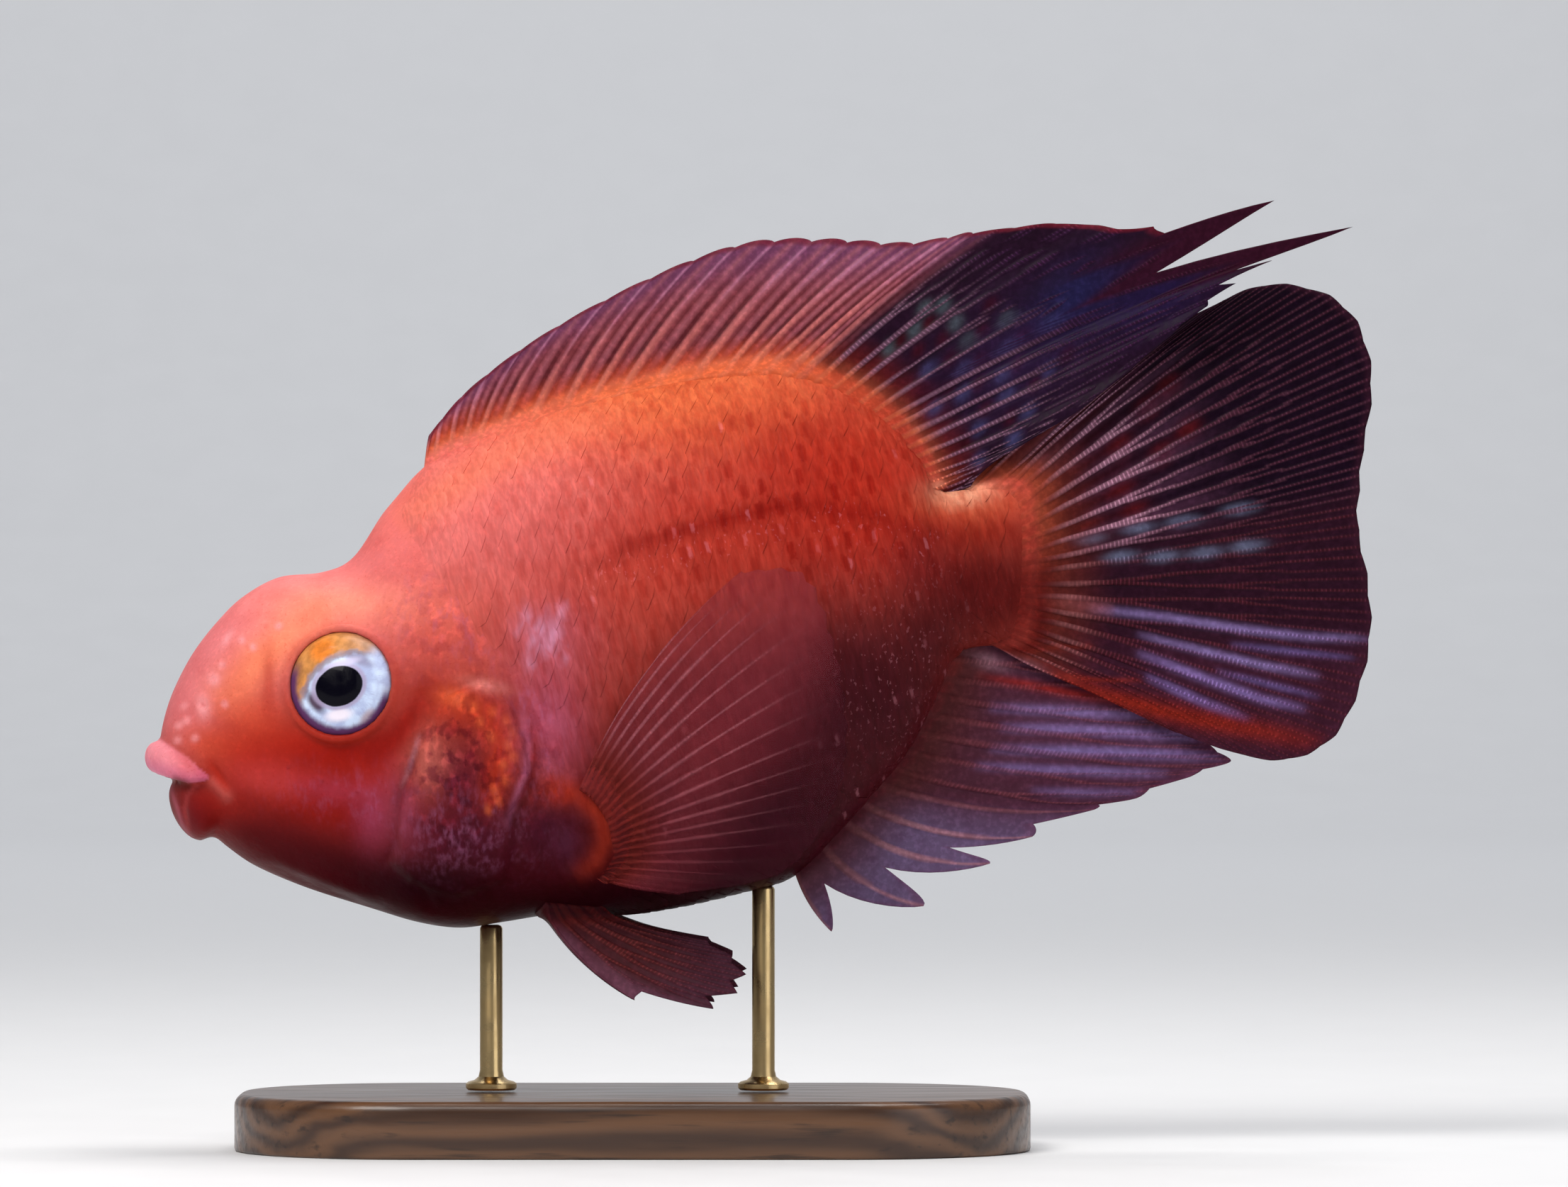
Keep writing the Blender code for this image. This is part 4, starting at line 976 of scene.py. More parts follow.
        # darker towards the belly and lighter towards the back: partly the fish's own colours, partly painted shade
        # below and painted light from above
        level = ease(at[:, 1], self.low, self.high)[:, None]
        colours = np.array(Palette.MAROON) * (1 - level) + np.array(Palette.SALMON) * level
        for patch in self.patches:
            share = patch.cover(at)[:, None]
            colours = colours * (1 - share) + np.array(patch.colour) * share
        streak = Stroke(self.lateral_line, 1.3, Palette.OXBLOOD, 0.8).cover(at)[:, None]
        return colours * (1 - streak) + np.array(Palette.OXBLOOD) * streak

    def rough(self, at: Array) -> Array:
        """How strongly the skin is mottled and lumped."""
        gill = Patch(-42.2, 53.5, 7.5, 11.5, -6.0, Palette.PLUM, 1.0, 1.6).cover(at)
        behind = Patch(-31.5, 52.0, 4.5, 9.0, 0.0, Palette.PLUM, 0.55).cover(at)
        nape = Patch(-43.0, 73.5, 9.5, 8.5, 0.0, Palette.PLUM, 0.42).cover(at)
        return np.max([gill, behind, nape], axis=0)

    def streaked(self, at: Array) -> Array:
        """How far the colour runs in fine upright streaks."""
        return ease(at[:, 0] + 0.35 * (90 - at[:, 1]), -40.0, -20.0)

    def dusty(self, at: Array) -> Array:
        """How thickly the skin is dusted with lilac."""
        gill = Patch(-41.5, 44.8, 8.5, 5.0, 0.0, Palette.LILAC, 0.6).cover(at)
        cheek = Patch(-57.5, 50.0, 9.5, 3.4, -6.0, Palette.LILAC, 0.35).cover(at)
        rear = Patch(-31.0, 62.0, 4.5, 13.0, 0.0, Palette.LILAC, 0.4).cover(at)
        nape = Patch(-40.0, 77.0, 12.0, 9.0, 0.0, Palette.LILAC, 0.35).cover(at)
        return np.max([gill, cheek, rear, nape], axis=0)


@dataclass
class Skin:
    """One skin over head, jaws, lips, gill covers, trunk and tail stalk."""

    body: BodyForm
    markings: Markings
    voxel: float = 0.44
    kept: float = 0.66
    eye_place: tuple[float, float] = (-59.8, 65.8)
    eye_centre: tuple[float, float] = (-59.15, 65.6)
    eye_radius: float = 8.2
    eye_bulge: float = 5.6
    eye_sink: float = 3.0
    lid_radius: float = 7.85
    lid_thick: float = 0.6
    nostril: tuple[float, float] = (-78.6, 62.6)
    upper_lip: tuple[Row, ...] = ((-85.0, 55.3), (-78.1, 8.8, 52.5), (1.6, 2.2, 0.6), (0.0,))
    lower_lip: tuple[Row, ...] = ((-80.2, 47.9), (-77.2, 7.3, 50.0), (2.5, 4.7, 0.9), (25.0,))
    gape_centre: Row = (-84.0, 0.0, 51.9)
    gape_radii: Row = (4.6, 7.2, 0.6)
    gill_outline: tuple[tuple[float, float], ...] = (
        (-47.6, 58.8), (-44.2, 64.0), (-39.4, 65.6), (-35.4, 62.6), (-33.4, 57.6), (-32.4, 53.0),
        (-33.6, 50.0), (-35.6, 47.0), (-34.6, 43.0), (-35.6, 37.4), (-43.2, 34.8), (-49.4, 36.8),
        (-52.4, 40.0), (-52.0, 47.2), (-50.2, 52.6),
    )
    folds: tuple[Fold, ...] = (
        Fold(((-47.6, 58.6), (-49.2, 53.8), (-50.7, 50.4), (-51.4, 46.0), (-51.4, 42.5), (-53.3, 39.8)), 0.6, -0.55),
        Fold(((-49.3, 59.5), (-51.4, 55.0), (-53.0, 50.0), (-53.8, 45.0)), 1.4, 0.35),
        Fold(((-77.9, 54.8), (-76.3, 52.3), (-75.0, 50.4)), 0.55, -0.5),
        Fold(((-77.8, 52.2), (-76.2, 50.8), (-74.8, 49.0)), 0.8, 0.4),
        Fold(((-79.1, 51.3), (-80.9, 49.8), (-81.3, 48.0), (-80.9, 45.6)), 0.4, -0.3),
        Fold(((-71.0, 42.0), (-66.0, 39.6), (-60.0, 37.2), (-54.0, 34.8)), 1.2, 0.4),
        Fold(((-70.0, 40.6), (-65.0, 38.2), (-59.0, 35.6), (-53.0, 33.4)), 1.0, -0.35),
        Fold(((-49.0, 38.0), (-47.4, 35.6), (-45.8, 33.2)), 0.9, -0.35),
        Fold(((-51.5, 62.5), (-46.5, 65.0), (-42.0, 66.2)), 2.2, -0.35),
        Fold(((-45.5, 58.0), (-43.5, 55.0), (-43.4, 51.5), (-45.0, 48.5)), 1.8, 0.35),
        Fold(((-40.0, 61.5), (-38.6, 57.0), (-38.8, 52.0), (-40.0, 47.0)), 1.2, -0.35),
        Fold(((-28.5, 50.5), (-25.2, 48.5), (-22.4, 45.5), (-21.8, 42.0), (-23.6, 38.6), (-26.5, 36.6)), 1.9, 1.3),
        Fold(((-30.0, 48.0), (-27.4, 45.0), (-26.6, 42.0), (-27.6, 39.0)), 1.0, -0.5),
        Fold(((-66.0, 76.0), (-60.0, 77.3), (-54.0, 75.3)), 2.4, 0.5),
        Fold(((-70.5, 59.5), (-66.0, 56.5), (-60.0, 54.8), (-54.0, 55.8)), 2.0, 0.35),
        Fold(((-68.5, 55.0), (-62.0, 52.0), (-56.0, 51.0)), 1.8, -0.25),
        Fold(((-81.6, 60.5), (-77.0, 58.0), (-73.0, 54.5), (-71.0, 50.5)), 1.6, 0.25),
    )
    pores: tuple[tuple[float, float], ...] = (
        (-77.2, 66.1), (-75.7, 62.8), (-75.9, 67.9), (-73.0, 60.5), (-70.0, 58.3), (-72.5, 70.5),
        (-69.8, 73.5), (-66.5, 53.5), (-62.0, 51.5), (-57.0, 50.0),
    )
    tree: BVHTree | None = field(default=None, repr=False)
    rolls: dict[str, tuple[Array, Array]] = field(default_factory=dict, repr=False)

    def ground(self, x: float, z: float, side: Side) -> tuple[Vector, Vector]:
        """The point of the flesh at this place of the side view, and the way it faces."""
        place, normal, _, _ = self.tree.ray_cast(Vector((x, 90.0 * side.value, z)), Vector((0, -side.value, 0)))
        return place, normal

    def upright(self, x: float, z: float, side: Side, sunk: float = 0.0) -> Matrix:
        """A place on the flesh with its own Z outwards, moved inwards by sunk."""
        place, normal = self.ground(x, z, side)
        turn = normal.to_track_quat("Z", "Y").to_matrix().to_4x4()
        return Matrix.Translation(place - normal * sunk) @ turn

    def lip(self, name: str, shape: tuple[Row, ...]) -> bpy.types.Object:
        """A lip: a tapered roll bent round the mouth from one corner to the other."""
        (front_x, front_z), (corner_x, corner_y, corner_z), (reach, tall, end), (lean,) = shape
        piece, share, angle = Bench.ball(name, 40, 90)
        share = 0.5 - np.cos(share * np.pi) / 2

        def line(at: Array) -> Array:
            """The middle of the roll."""
            turn = np.pi * (np.clip(at, 0, 1) - 0.5)
            forward = np.maximum(np.cos(turn), 0)
            return np.column_stack([
                corner_x + (front_x - corner_x) * forward,
                corner_y * np.sin(turn),
                corner_z + (front_z - corner_z) * forward**1.5,
            ])

        up = np.array([-math.sin(math.radians(lean)), 0, math.cos(math.radians(lean))])
        along = unit(line(share + 0.01) - line(share - 0.01))
        out = unit(np.cross(along, up))

        def plump(at: Array) -> Array:
            """How full the roll is, 1 at the front."""
            full = np.maximum(0, np.cos(np.pi * (at - 0.5))) ** 0.6
            return (end / tall + (1 - end / tall) * full) * np.minimum(1, 6 * np.minimum(at, 1 - at)) ** 0.5

        spoke = out * (np.cos(angle) * reach)[:, None] + up * (np.sin(angle) * tall)[:, None]
        Bench.put(piece, line(share) + spoke * plump(share)[:, None])
        Bench.outwards(piece)
        steps = np.linspace(0.01, 0.99, 60)
        self.rolls[name] = (line(steps), plump(steps)[:, None] * (reach, reach, tall))
        return piece

    def on_lip(self, name: str, places: Array) -> Array:
        """How far points lie on a lip: 1 on its roll, 0 clear of it."""
        cover = np.zeros(len(places))
        near = places[:, 0] < -74.0
        best = np.full(near.sum(), 9.0)
        for centre, size in zip(*self.rolls[name]):
            best = np.minimum(best, np.linalg.norm((places[near] - centre) / size, axis=1))
        cover[near] = ease(best, 1.32, 1.02)
        return cover

    def eye_cutter(self, side: Side) -> bpy.types.Object:
        """The hollow that the eye sits in."""
        piece, _, _ = Bench.ball("socket", 48, 24)
        wide, deep = self.eye_radius - 0.1, self.eye_bulge + 0.4
        at = Bench.places(piece) * (wide, wide, deep)
        frame = np.array(self.upright(*self.eye_place, side, self.eye_sink - 1.0))
        Bench.put(piece, at @ frame[:3, :3].T + frame[:3, 3])
        Bench.outwards(piece)
        return piece

    def ring(self, name: str, place: Matrix, radius: float, thick: float) -> bpy.types.Object:
        """A fleshy ring that lies on the head."""
        Bench.clear()
        bpy.ops.mesh.primitive_torus_add(
            major_radius=radius, minor_radius=thick, major_segments=72, minor_segments=16
        )
        piece = Bench.named(name)
        frame = np.array(place)
        Bench.put(piece, Bench.places(piece) @ frame[:3, :3].T + frame[:3, 3])
        Bench.outwards(piece)
        return piece

    def build(self, finish: bpy.types.Material) -> bpy.types.Object:
        """Makes the skin.

        Args:
            finish: What it is dressed in.

        Returns:
            The finished piece.
        """
        skin = self.body.solid("fish_skin", 200, 260)
        self.tree = Bench.surface(skin)
        cutters = [self.eye_cutter(side) for side in Side]
        gape, _, _ = Bench.ball("gape", 48, 32)
        Bench.put(gape, Bench.places(gape) * self.gape_radii + self.gape_centre)
        for cutter in [*cutters, gape]:
            Bench.modify(skin, "BOOLEAN", operation="DIFFERENCE", solver="MANIFOLD", object=cutter)
            bpy.data.objects.remove(cutter)
        rolls = [self.lip("upper_lip", self.upper_lip), self.lip("lower_lip", self.lower_lip)]
        for side in Side:
            place = self.upright(*self.eye_place, side, 0.25)
            rolls.append(self.ring("lid", place, self.lid_radius, self.lid_thick))
        skin = Bench.joined("fish_skin", [skin, *rolls])
        Bench.modify(skin, "REMESH", mode="VOXEL", voxel_size=self.voxel, use_smooth_shade=True)
        Bench.modify(skin, "SMOOTH", factor=0.5, iterations=3)
        at = Bench.places(skin)
        chin = 1.4 * np.exp(-(((at[:, 0] + 77.0) / 2.2) ** 2 + ((at[:, 2] - 47.0) / 3.2) ** 2))
        Bench.group(skin, "chin", np.minimum(chin, 1))
        Bench.modify(skin, "SMOOTH", factor=0.5, iterations=50, vertex_group="chin")
        Bench.group(skin, "under_scales", ScaleCoat.covered(self.body.portrait(Bench.places(skin))))
        Bench.modify(skin, "DECIMATE", ratio=self.kept, vertex_group="under_scales")
        self.sculpt(skin)
        places = Bench.places(skin)
        at = self.body.portrait(places)
        Bench.tint(skin, self.colour(places))
        Bench.value(skin, "Mottle", self.markings.rough(at))
        Bench.value(skin, "Dust", self.markings.dusty(at))
        Bench.value(skin, "Scaly", self.markings.streaked(at))
        self.body.settle(skin)
        Bench.smooth(skin)
        Bench.dress(skin, finish)
        return skin

    def sculpt(self, skin: bpy.types.Object) -> None:
        """Raises the gill covers, folds, fin bases and nostrils on the skin."""
        places, normals = Bench.places(skin), Bench.normals(skin)
        at = self.body.portrait(places)
        lift = np.zeros(len(places))
        depth = inside_distance(at, list(self.gill_outline))
        back = ease(at[:, 0], -46.0, -40.0) * ease(at[:, 1], 39.0, 47.0)
        lift += 0.85 * (ease(depth, -0.15, 0.5) * back + ease(depth, -0.3, 2.2) * (1 - back))
        lift -= 0.35 * np.exp(-(((depth + 0.6) / 0.5) ** 2)) * back
        for fold in self.folds:
            lift += fold.lift(at)
        gap = np.linalg.norm(at - np.array(self.nostril), axis=1)
        lift += 0.22 * np.exp(-(((gap - 1.0) / 0.5) ** 2)) - 0.3 * np.exp(-((gap / 0.42) ** 2))
        for pore in self.pores:
            gap = np.linalg.norm(at - np.array(pore), axis=1)
            lift += 0.12 * np.exp(-(((gap - 0.55) / 0.3) ** 2)) - 0.3 * np.exp(-((gap / 0.32) ** 2))
        side = ease(np.abs(places[:, 1]), 1.0, 4.0)
        reach = np.linalg.norm(at - np.array(self.eye_centre), axis=1)
        clear = 1 - np.exp(-((np.maximum(reach - 6.0, 0) / 2.4) ** 2))
        Bench.put(skin, places + normals * (lift * side * clear - 0.22 * ScaleCoat.covered(at))[:, None])

    def colour(self, places: Array) -> Array:
        """The markings, with the lips, lids and creases over them, and painted shade in the creases, the gap between
        the lips, the eye sockets and the nostrils.
        """
        at = self.body.portrait(places)
        colours = self.markings.paint(places)

        def wash(share: Array, colour: Colour) -> None:
            """Lays one more colour on."""
            nonlocal colours
            share = np.clip(share, 0, 1)[:, None]
            colours = colours * (1 - share) + np.array(colour) * share

        lip = self.on_lip("upper_lip", places)
        wash(0.95 * lip, (0.70, 0.16, 0.19))
        wash(0.9 * lip * ease(at[:, 0], -80.5, -84.5), (0.82, 0.28, 0.33))
        wash(0.6 * lip * ease(at[:, 0] * 0.35 + at[:, 1], 25.9, 23.6), (0.60, 0.14, 0.26))
        wash(0.8 * lip * ease(at[:, 0], -81.0, -77.8), (0.50, 0.085, 0.17))
        for stroke in (
            # painted shadow in the gap between the lips
            Stroke(((-83.2, 52.2), (-82.0, 51.7), (-80.2, 51.0)), 0.7, (0.10, 0.008, 0.004), 0.85),
            Stroke(((-83.6, 52.6), (-83.1, 50.3), (-82.3, 48.0), (-81.6, 45.7), (-80.2, 43.6)), 0.32, (0.42, 0.09, 0.13), 0.55),
            Stroke(((-79.1, 51.5), (-80.9, 49.8), (-81.3, 48.0), (-81.0, 46.2), (-80.6, 44.6)), 0.35, (0.42, 0.06, 0.06), 0.5),
            Stroke(((-78.0, 52.6), (-76.2, 50.9), (-74.6, 48.8)), 0.9, (0.60, 0.13, 0.11), 0.5),
            # painted shade in the crease behind the upper lip
            Stroke(((-78.2, 55.2), (-76.4, 52.5), (-75.0, 50.4)), 0.7, (0.42, 0.022, 0.010), 0.8),
            # painted shade in the crease before the gill cover
            Stroke(((-47.4, 59.5), (-49.0, 54.2), (-50.6, 50.2), (-51.4, 44.0), (-53.0, 40.0)), 0.5, Palette.MAROON, 0.55),
            # painted shade in the groove behind the rear edge of the gill cover
            Stroke(((-33.0, 61.0), (-31.9, 57.0), (-32.2, 52.5), (-34.6, 48.2)), 0.45, Palette.GARNET, 0.7),
        ):
            wash(stroke.cover(at), stroke.colour)
        reach = np.linalg.norm(at - np.array(self.eye_centre), axis=1)
        wash(0.4 * np.exp(-(((reach - 7.9) / 0.8) ** 2)), (0.42, 0.035, 0.018))
        # painted shade inside the socket, where the lid meets the eye
        wash(0.9 * ease(reach, 7.3, 6.8), (0.34, 0.06, 0.03))
        gap = np.linalg.norm(at - np.array(self.nostril), axis=1)
        # painted shade in the nostril
        wash(0.5 * ease(gap, 0.55, 0.15), (0.55, 0.09, 0.08))
        return colours


@dataclass
class ScaleCoat:
    """The scales: thin solid plates in overlapping rows, over the trunk and tail stalk."""

    body: BodyForm
    skin: Skin
    markings: Markings
    pitch: float = 2.7
    rise: float = 3.45
    tilt: float = 13.6
    length: float = 4.7
    height: float = 6.6
    thick: float = 0.16
    patch: float = 0.003
    seed: int = 7
    pieces: list[bpy.types.Object] = field(default_factory=list)

    @staticmethod
    def covered(at: Array) -> Array:
        """Where the coat lies on the portrait plane, 0 to 1."""
        front = [(-57.5, 99.0), (-52.5, 88.0), (-46.5, 80.0), (-41.0, 72.0), (-35.0, 66.0), (-30.0, 60.0), (-28.6, 52.0)]
        behind = front + [(-19.0, 50.0), (-18.4, 40.0), (-22.0, 34.5), (-30.0, 30.0), (-10.0, 20.0), (50.0, 50.0), (50.0, 130.0), (-40.0, 130.0)]
        return ease(inside_distance(at, behind), -0.6, 4.5) * ease(at[:, 0], 35.0, 33.5)

    def template(self) -> tuple[Array, Array, list[tuple[int, ...]]]:
        """One scale as drawn flat.

        Returns:
            Its corners as (along, across, up), their places on the scale's own map, and its faces.
        """
        plate = Bench.sheet("scale", 4, 4)
        flat = Bench.places(plate)
        along, across = (flat[:, 0] + 1) / 2, flat[:, 1]
        wide = np.interp(along, [0, 0.25, 0.5, 0.75, 1.0], [0.55, 0.9, 1.0, 0.86, 0.40])
        round_back = 1 - 0.10 * across**2 * along
        local = np.column_stack([along * round_back, across * wide / 2, np.zeros(len(along))])
        Bench.put(plate, local)
        Bench.modify(plate, "SOLIDIFY", thickness=0.03, offset=-1.0)
        local = Bench.places(plate)
        faces = [tuple(face.vertices) for face in plate.data.polygons]
        bpy.data.objects.remove(plate)
        own = np.column_stack([local[:, 0], local[:, 1] + 0.5])
        local[:, 2] = np.where(local[:, 2] < -0.01, -1.0, 0.0)
        return local, own, faces

    def seats(self) -> list[tuple[Vector, Vector, int]]:
        """Where the scales sit: marched up and down from the middle of each side, row by row."""
        turn = math.radians(self.tilt)
        axis, over = Vector((math.cos(turn), 0, math.sin(turn))), Vector((-math.sin(turn), 0, math.cos(turn)))
        centre = Vector((-8.0, 0, 74.0))
        found = []
        for side in Side:
            for column in range(-30, 34):
                start = centre + axis * (column * self.pitch / 2)
                hit = self.skin.tree.ray_cast(Vector((start.x, 90.0 * side.value, start.z)), Vector((0, -side.value, 0)))
                if hit[0] is None:
                    continue
                for way in (1, -1):
                    place, normal = hit[0], hit[1]
                    for row in range(0, 16):
                        if row:
                            step = over * way - normal * normal.dot(over * way)
                            if step.length < 0.25:
                                break
                            place, normal, _, _ = self.skin.tree.find_nearest(place + step.normalized() * self.rise)
                        if place.y * side.value < 0.4:
                            break
                        if (row or way == 1) and (column + row) % 2 == 0:
                            found.append((place, normal, side.value))
        return found

    def build(self, finish: bpy.types.Material) -> list[bpy.types.Object]:
        """Makes the coat, one piece for each side.

        Args:
            finish: What the scales are dressed in.

        Returns:
            The finished pieces.
        """
        local, own, faces = self.template()
        turn = math.radians(self.tilt)
        axis = Vector((math.cos(turn), 0, math.sin(turn)))
        draw = np.random.default_rng(self.seed)
        seats = self.seats()
        roots = np.array([tuple(place) for place, _, _ in seats])
        cover = self.covered(self.body.portrait(roots))
        for side in Side:
            corners, plan, maps, dashes, flecks, strewn, count = [], [], [], [], [], [], 0
            for (place, normal, way), share in zip(seats, cover):
                if way != side.value or share < 0.1:
                    continue
                lean = Matrix.Rotation(math.radians(draw.normal(0, 2.5)), 3, normal)
                along = lean @ (axis - normal * normal.dot(axis)).normalized()
                across = normal.cross(along).normalized()
                size = (0.72 + 0.28 * share) * draw.normal(1, 0.03)
                long, tall = self.length * size, self.height * size
                raised = draw.normal(0.15, 0.025) * share - 0.06 * (1 - share)
                at = len(corners)
                for a, b, h in local:
                    spot = place + along * ((a - 0.42) * long) + across * (b * tall)
                    near, facing, _, _ = self.skin.tree.find_nearest(spot)
                    curl = -0.16 + (0.16 + raised) * min(1.0, a / 0.85) - 0.10 * max(0.0, a - 0.85) / 0.15
                    curl -= 0.05 * (abs(b) * 2) ** 2
                    corners.append(near + facing * (curl + h * self.thick))
                root = self.unroll(place)
                maps += [(root[0] + (a - 0.5) * self.patch, root[1] + b * self.patch) for a, b, _ in local]
                plan += [tuple(at + i for i in face) for face in faces]
                dashes += [max(0.0, min(1.0, draw.normal(0.6, 0.35)))] * len(local)
                flecks += [float(draw.random() < 0.6 * self.flecked(place)) * draw.uniform(0.25, 1.0)] * len(local)
                strewn += [self.flecked(place)] * len(local)
                count += 1
            name = f"scale_coat_{side.name.lower()}"
            mesh = bpy.data.meshes.new(name)
            mesh.from_pydata([tuple(c) for c in corners], [], plan)
            piece = bpy.data.objects.new(name, mesh)
            bpy.context.scene.collection.objects.link(piece)
            places = Bench.places(piece)
            Bench.unwrap(piece, "OFBake", np.array(maps))
            Bench.unwrap(piece, "Scale", np.tile(own, (count, 1)))
            Bench.value(piece, "Dash", np.array(dashes) * self.dashed(places))
            Bench.value(piece, "Fleck", np.array(flecks))
            Bench.value(piece, "Strewn", np.array(strewn))
            Bench.value(piece, "Scaly", self.markings.streaked(self.body.portrait(places)))
            Bench.tint(piece, self.markings.paint(places))
            Bench.outwards(piece)
            self.body.settle(piece)
            Bench.smooth(piece, 40)
            Bench.dress(piece, finish)
            self.pieces.append(piece)
            log.info("%s: %d scales", name, count)
        return self.pieces

    def unroll(self, place: Vector) -> tuple[float, float]:
        """A point of the body on the unwrap of the skin: along its length, and round it."""
        round_it = math.atan2(place.z - 70.0, place.y) / (2 * math.pi) + 0.5
        return (place.x + 90.0) / 180.0 * 0.94 + 0.03, round_it * 0.94 + 0.03

    def flecked(self, place: Vector) -> float:
        """How likely a scale is to carry a pale fleck."""
        at = self.body.portrait(np.array([tuple(place)]))
        gap, _ = polyline(at + (0.0, 2.2), list(self.markings.lateral_line))
        line = math.exp(-((gap[0] / 1.6) ** 2))
        rear = math.exp(-(((at[0, 0] - 18.0) / 11.0) ** 2 + ((at[0, 1] - 66.0) / 14.0) ** 2))
        return 0.06 + 0.75 * line + 0.7 * rear

    def dashed(self, places: Array) -> Array:
        """How strong the dark dashes are over the body."""
        at = self.body.portrait(places)
        strong = np.exp(-(((at[:, 0] - 2.0) / 26.0) ** 2 + ((at[:, 1] - 88.0) / 15.0) ** 2))
        return (0.25 + 0.75 * strong) * self.covered(at)


@dataclass(frozen=True)
class Ray:
    """How the rays of a fin, or of one stretch of it, are built."""

    first: float
    root: float
    tip: float
    stand: float
    splits: tuple[float, ...] = ()
    joints: float = 0.0


@dataclass
class Fin:
    """A fin: rays that stand out of one web on both faces, painted in its own colours.

    A guide is (root x, root z, tip x, tip z, drift, bow): drift is how far the tip lies from the
    midline, and bow the share of a ray's length by which it arches.
    """

    body: BodyForm
    skin: Skin
    name: str = "fin"
    guides: tuple[Row, ...] = ()
    count: int = 2
    soft_guides: tuple[Row, ...] = ()
    webs: tuple[float, ...] = (0.97,)
    kinds: tuple[Ray, ...] = (Ray(0.0, 0.5, 0.3, 0.5),)
    columns: int = 10
    rows: int = 90
    web_root: float = 0.9
    web_edge: float = 0.22
    flare: float = 1.4
    flare_reach: float = 1.1
    notch: float = 1.0
    taper: float = 0.0
    swell: float = 0.9
    melt: float = 2.0
    ripple: float = 0.25
    marks: tuple[Patch | Stroke, ...] = ()

    def ray_table(self) -> Array:
        """The guides spread to one row for each ray."""
        guides = np.array(self.guides)
        spread = spline(guides, np.linspace(0, len(guides) - 1, self.count))
        return np.vstack([spread, np.array(self.soft_guides)]) if self.soft_guides else spread

    def at(self, u: Array, v: Array) -> Array:
        """Points of the fin's middle sheet, u counted in rays and v from root to tip."""
        rx, rz, tx, tz, drift, bow = spline(self.ray_table(), u).T
        root = np.column_stack([rx, np.zeros(len(u)), rz])
        tip = np.column_stack([tx, drift, tz])
        return self.arch(root, tip, bow, v)

    @staticmethod
    def arch(root: Array, tip: Array, bow: Array, v: Array) -> Array:
        """Points on arched rays."""
        run = tip - root
        rise = np.column_stack([-run[:, 2], np.zeros(len(run)), run[:, 0]]) * bow[:, None] * 2
        middle, v = (root + tip) / 2 + rise, v[:, None]
        return root * (1 - v) ** 2 + middle * (2 * v * (1 - v)) + tip * v**2

    def build(self, finish: bpy.types.Material, side: Side = Side.LEFT) -> bpy.types.Object:
        """Makes the fin.

        Args:
            finish: What it is dressed in.
            side: The side of the fish it grows on, for a paired fin.

        Returns:
            The finished piece.
        """
        last = len(self.ray_table()) - 1
        across = last * self.columns
        piece = Bench.sheet(self.name, across, self.rows)
        flat = Bench.places(piece)
        u = (flat[:, 0] + 1) / 2 * last
        v = (flat[:, 1] + 1) / 2
        part = u - np.floor(u)
        webs = np.array(self.webs) if len(self.webs) > 1 else np.full(last, self.webs[0])
        web = webs[np.clip(np.floor(u).astype(int), 0, last - 1)]
        bay = np.where(web > 1, np.sin(np.pi * part) ** 0.7, (1 - np.abs(2 * part - 1)) ** self.notch)
        reach = 1 - (1 - web) * bay
        middle = self.at(u, v * reach)
        aside = self.at(np.clip(u + 0.02, 0, last), v) - self.at(np.clip(u - 0.02, 0, last), v)
        spacing = np.linalg.norm(aside, axis=1) / 0.04
        length = np.linalg.norm(self.at(u, np.ones(len(u))) - self.at(u, np.zeros(len(u))), axis=1)
        leaves = self.leaves_flesh(last)
        out = (v * reach - np.interp(u, np.arange(last + 1), leaves)) * length
        ray, stand, joints = self.rays_on(u, v, spacing)
        middle[:, 1] += self.ripple * np.sin(np.pi * u) * ease(out, 1.0, 8.0) * (1 - 0.5 * v)
        middle = self.lifted(middle, v, side)
        base = self.web_edge + (self.web_root - self.web_edge) * np.exp(-np.maximum(out, 0) / 5.0)
        cuff = self.flare * np.sin(np.pi * np.clip(u / last, 0.001, 0.999)) ** self.taper
        base += cuff * np.exp(-np.maximum(out, -self.swell) / self.flare_reach)
        stand = stand * (0.25 + 0.75 * ease(out, 0.0, 3.0))
        edge = ease(v, 1.0, 0.97)
        thick = (base + stand) * (0.35 + 0.65 * edge)
        at = self.body.portrait(middle)
        colours = self.paint(u, v, part, out, ray, at, length)
        share = (0.9 * ease(out, self.melt, 0.0) * (1 - 0.4 * ray))[:, None]
        colours = colours * (1 - share) + self.skin.markings.paint(middle) * share
        Bench.put(piece, middle)
        Bench.tint(piece, colours)
        Bench.value(piece, "Ray", ray)
        Bench.value(piece, "Joint", joints)
        Bench.value(piece, "Veil", self.veil(u, v, out, ray))
        Bench.unwrap(piece, "Fin", np.column_stack([u, v * reach * length]))
        layer = piece.data.uv_layers.get("UVMap")
        if layer:
            piece.data.uv_layers.remove(layer)
        most = thick.max()
        Bench.group(piece, "thickness", thick / most)
        Bench.modify(
            piece, "SOLIDIFY", thickness=most, offset=0.0, vertex_group="thickness", use_even_offset=False
        )
        Bench.outwards(piece)
        self.body.settle(piece)
        Bench.smooth(piece)
        Bench.dress(piece, finish)
        return piece

    def leaves_flesh(self, last: int) -> Array:
        """The share of each ray at which it comes out of the body."""
        found = []
        steps = np.linspace(0, 0.6, 80)
        for index in range(last + 1):
            leaving = 0.0
            for v, place in zip(steps, self.at(np.full(len(steps), float(index)), steps)):
                if self.skin.tree.ray_cast(Vector((place[0], -90, place[2])), Vector((0, 1, 0)))[0] is None:
                    leaving = v
                    break
            found.append(leaving)
        return np.array(found)

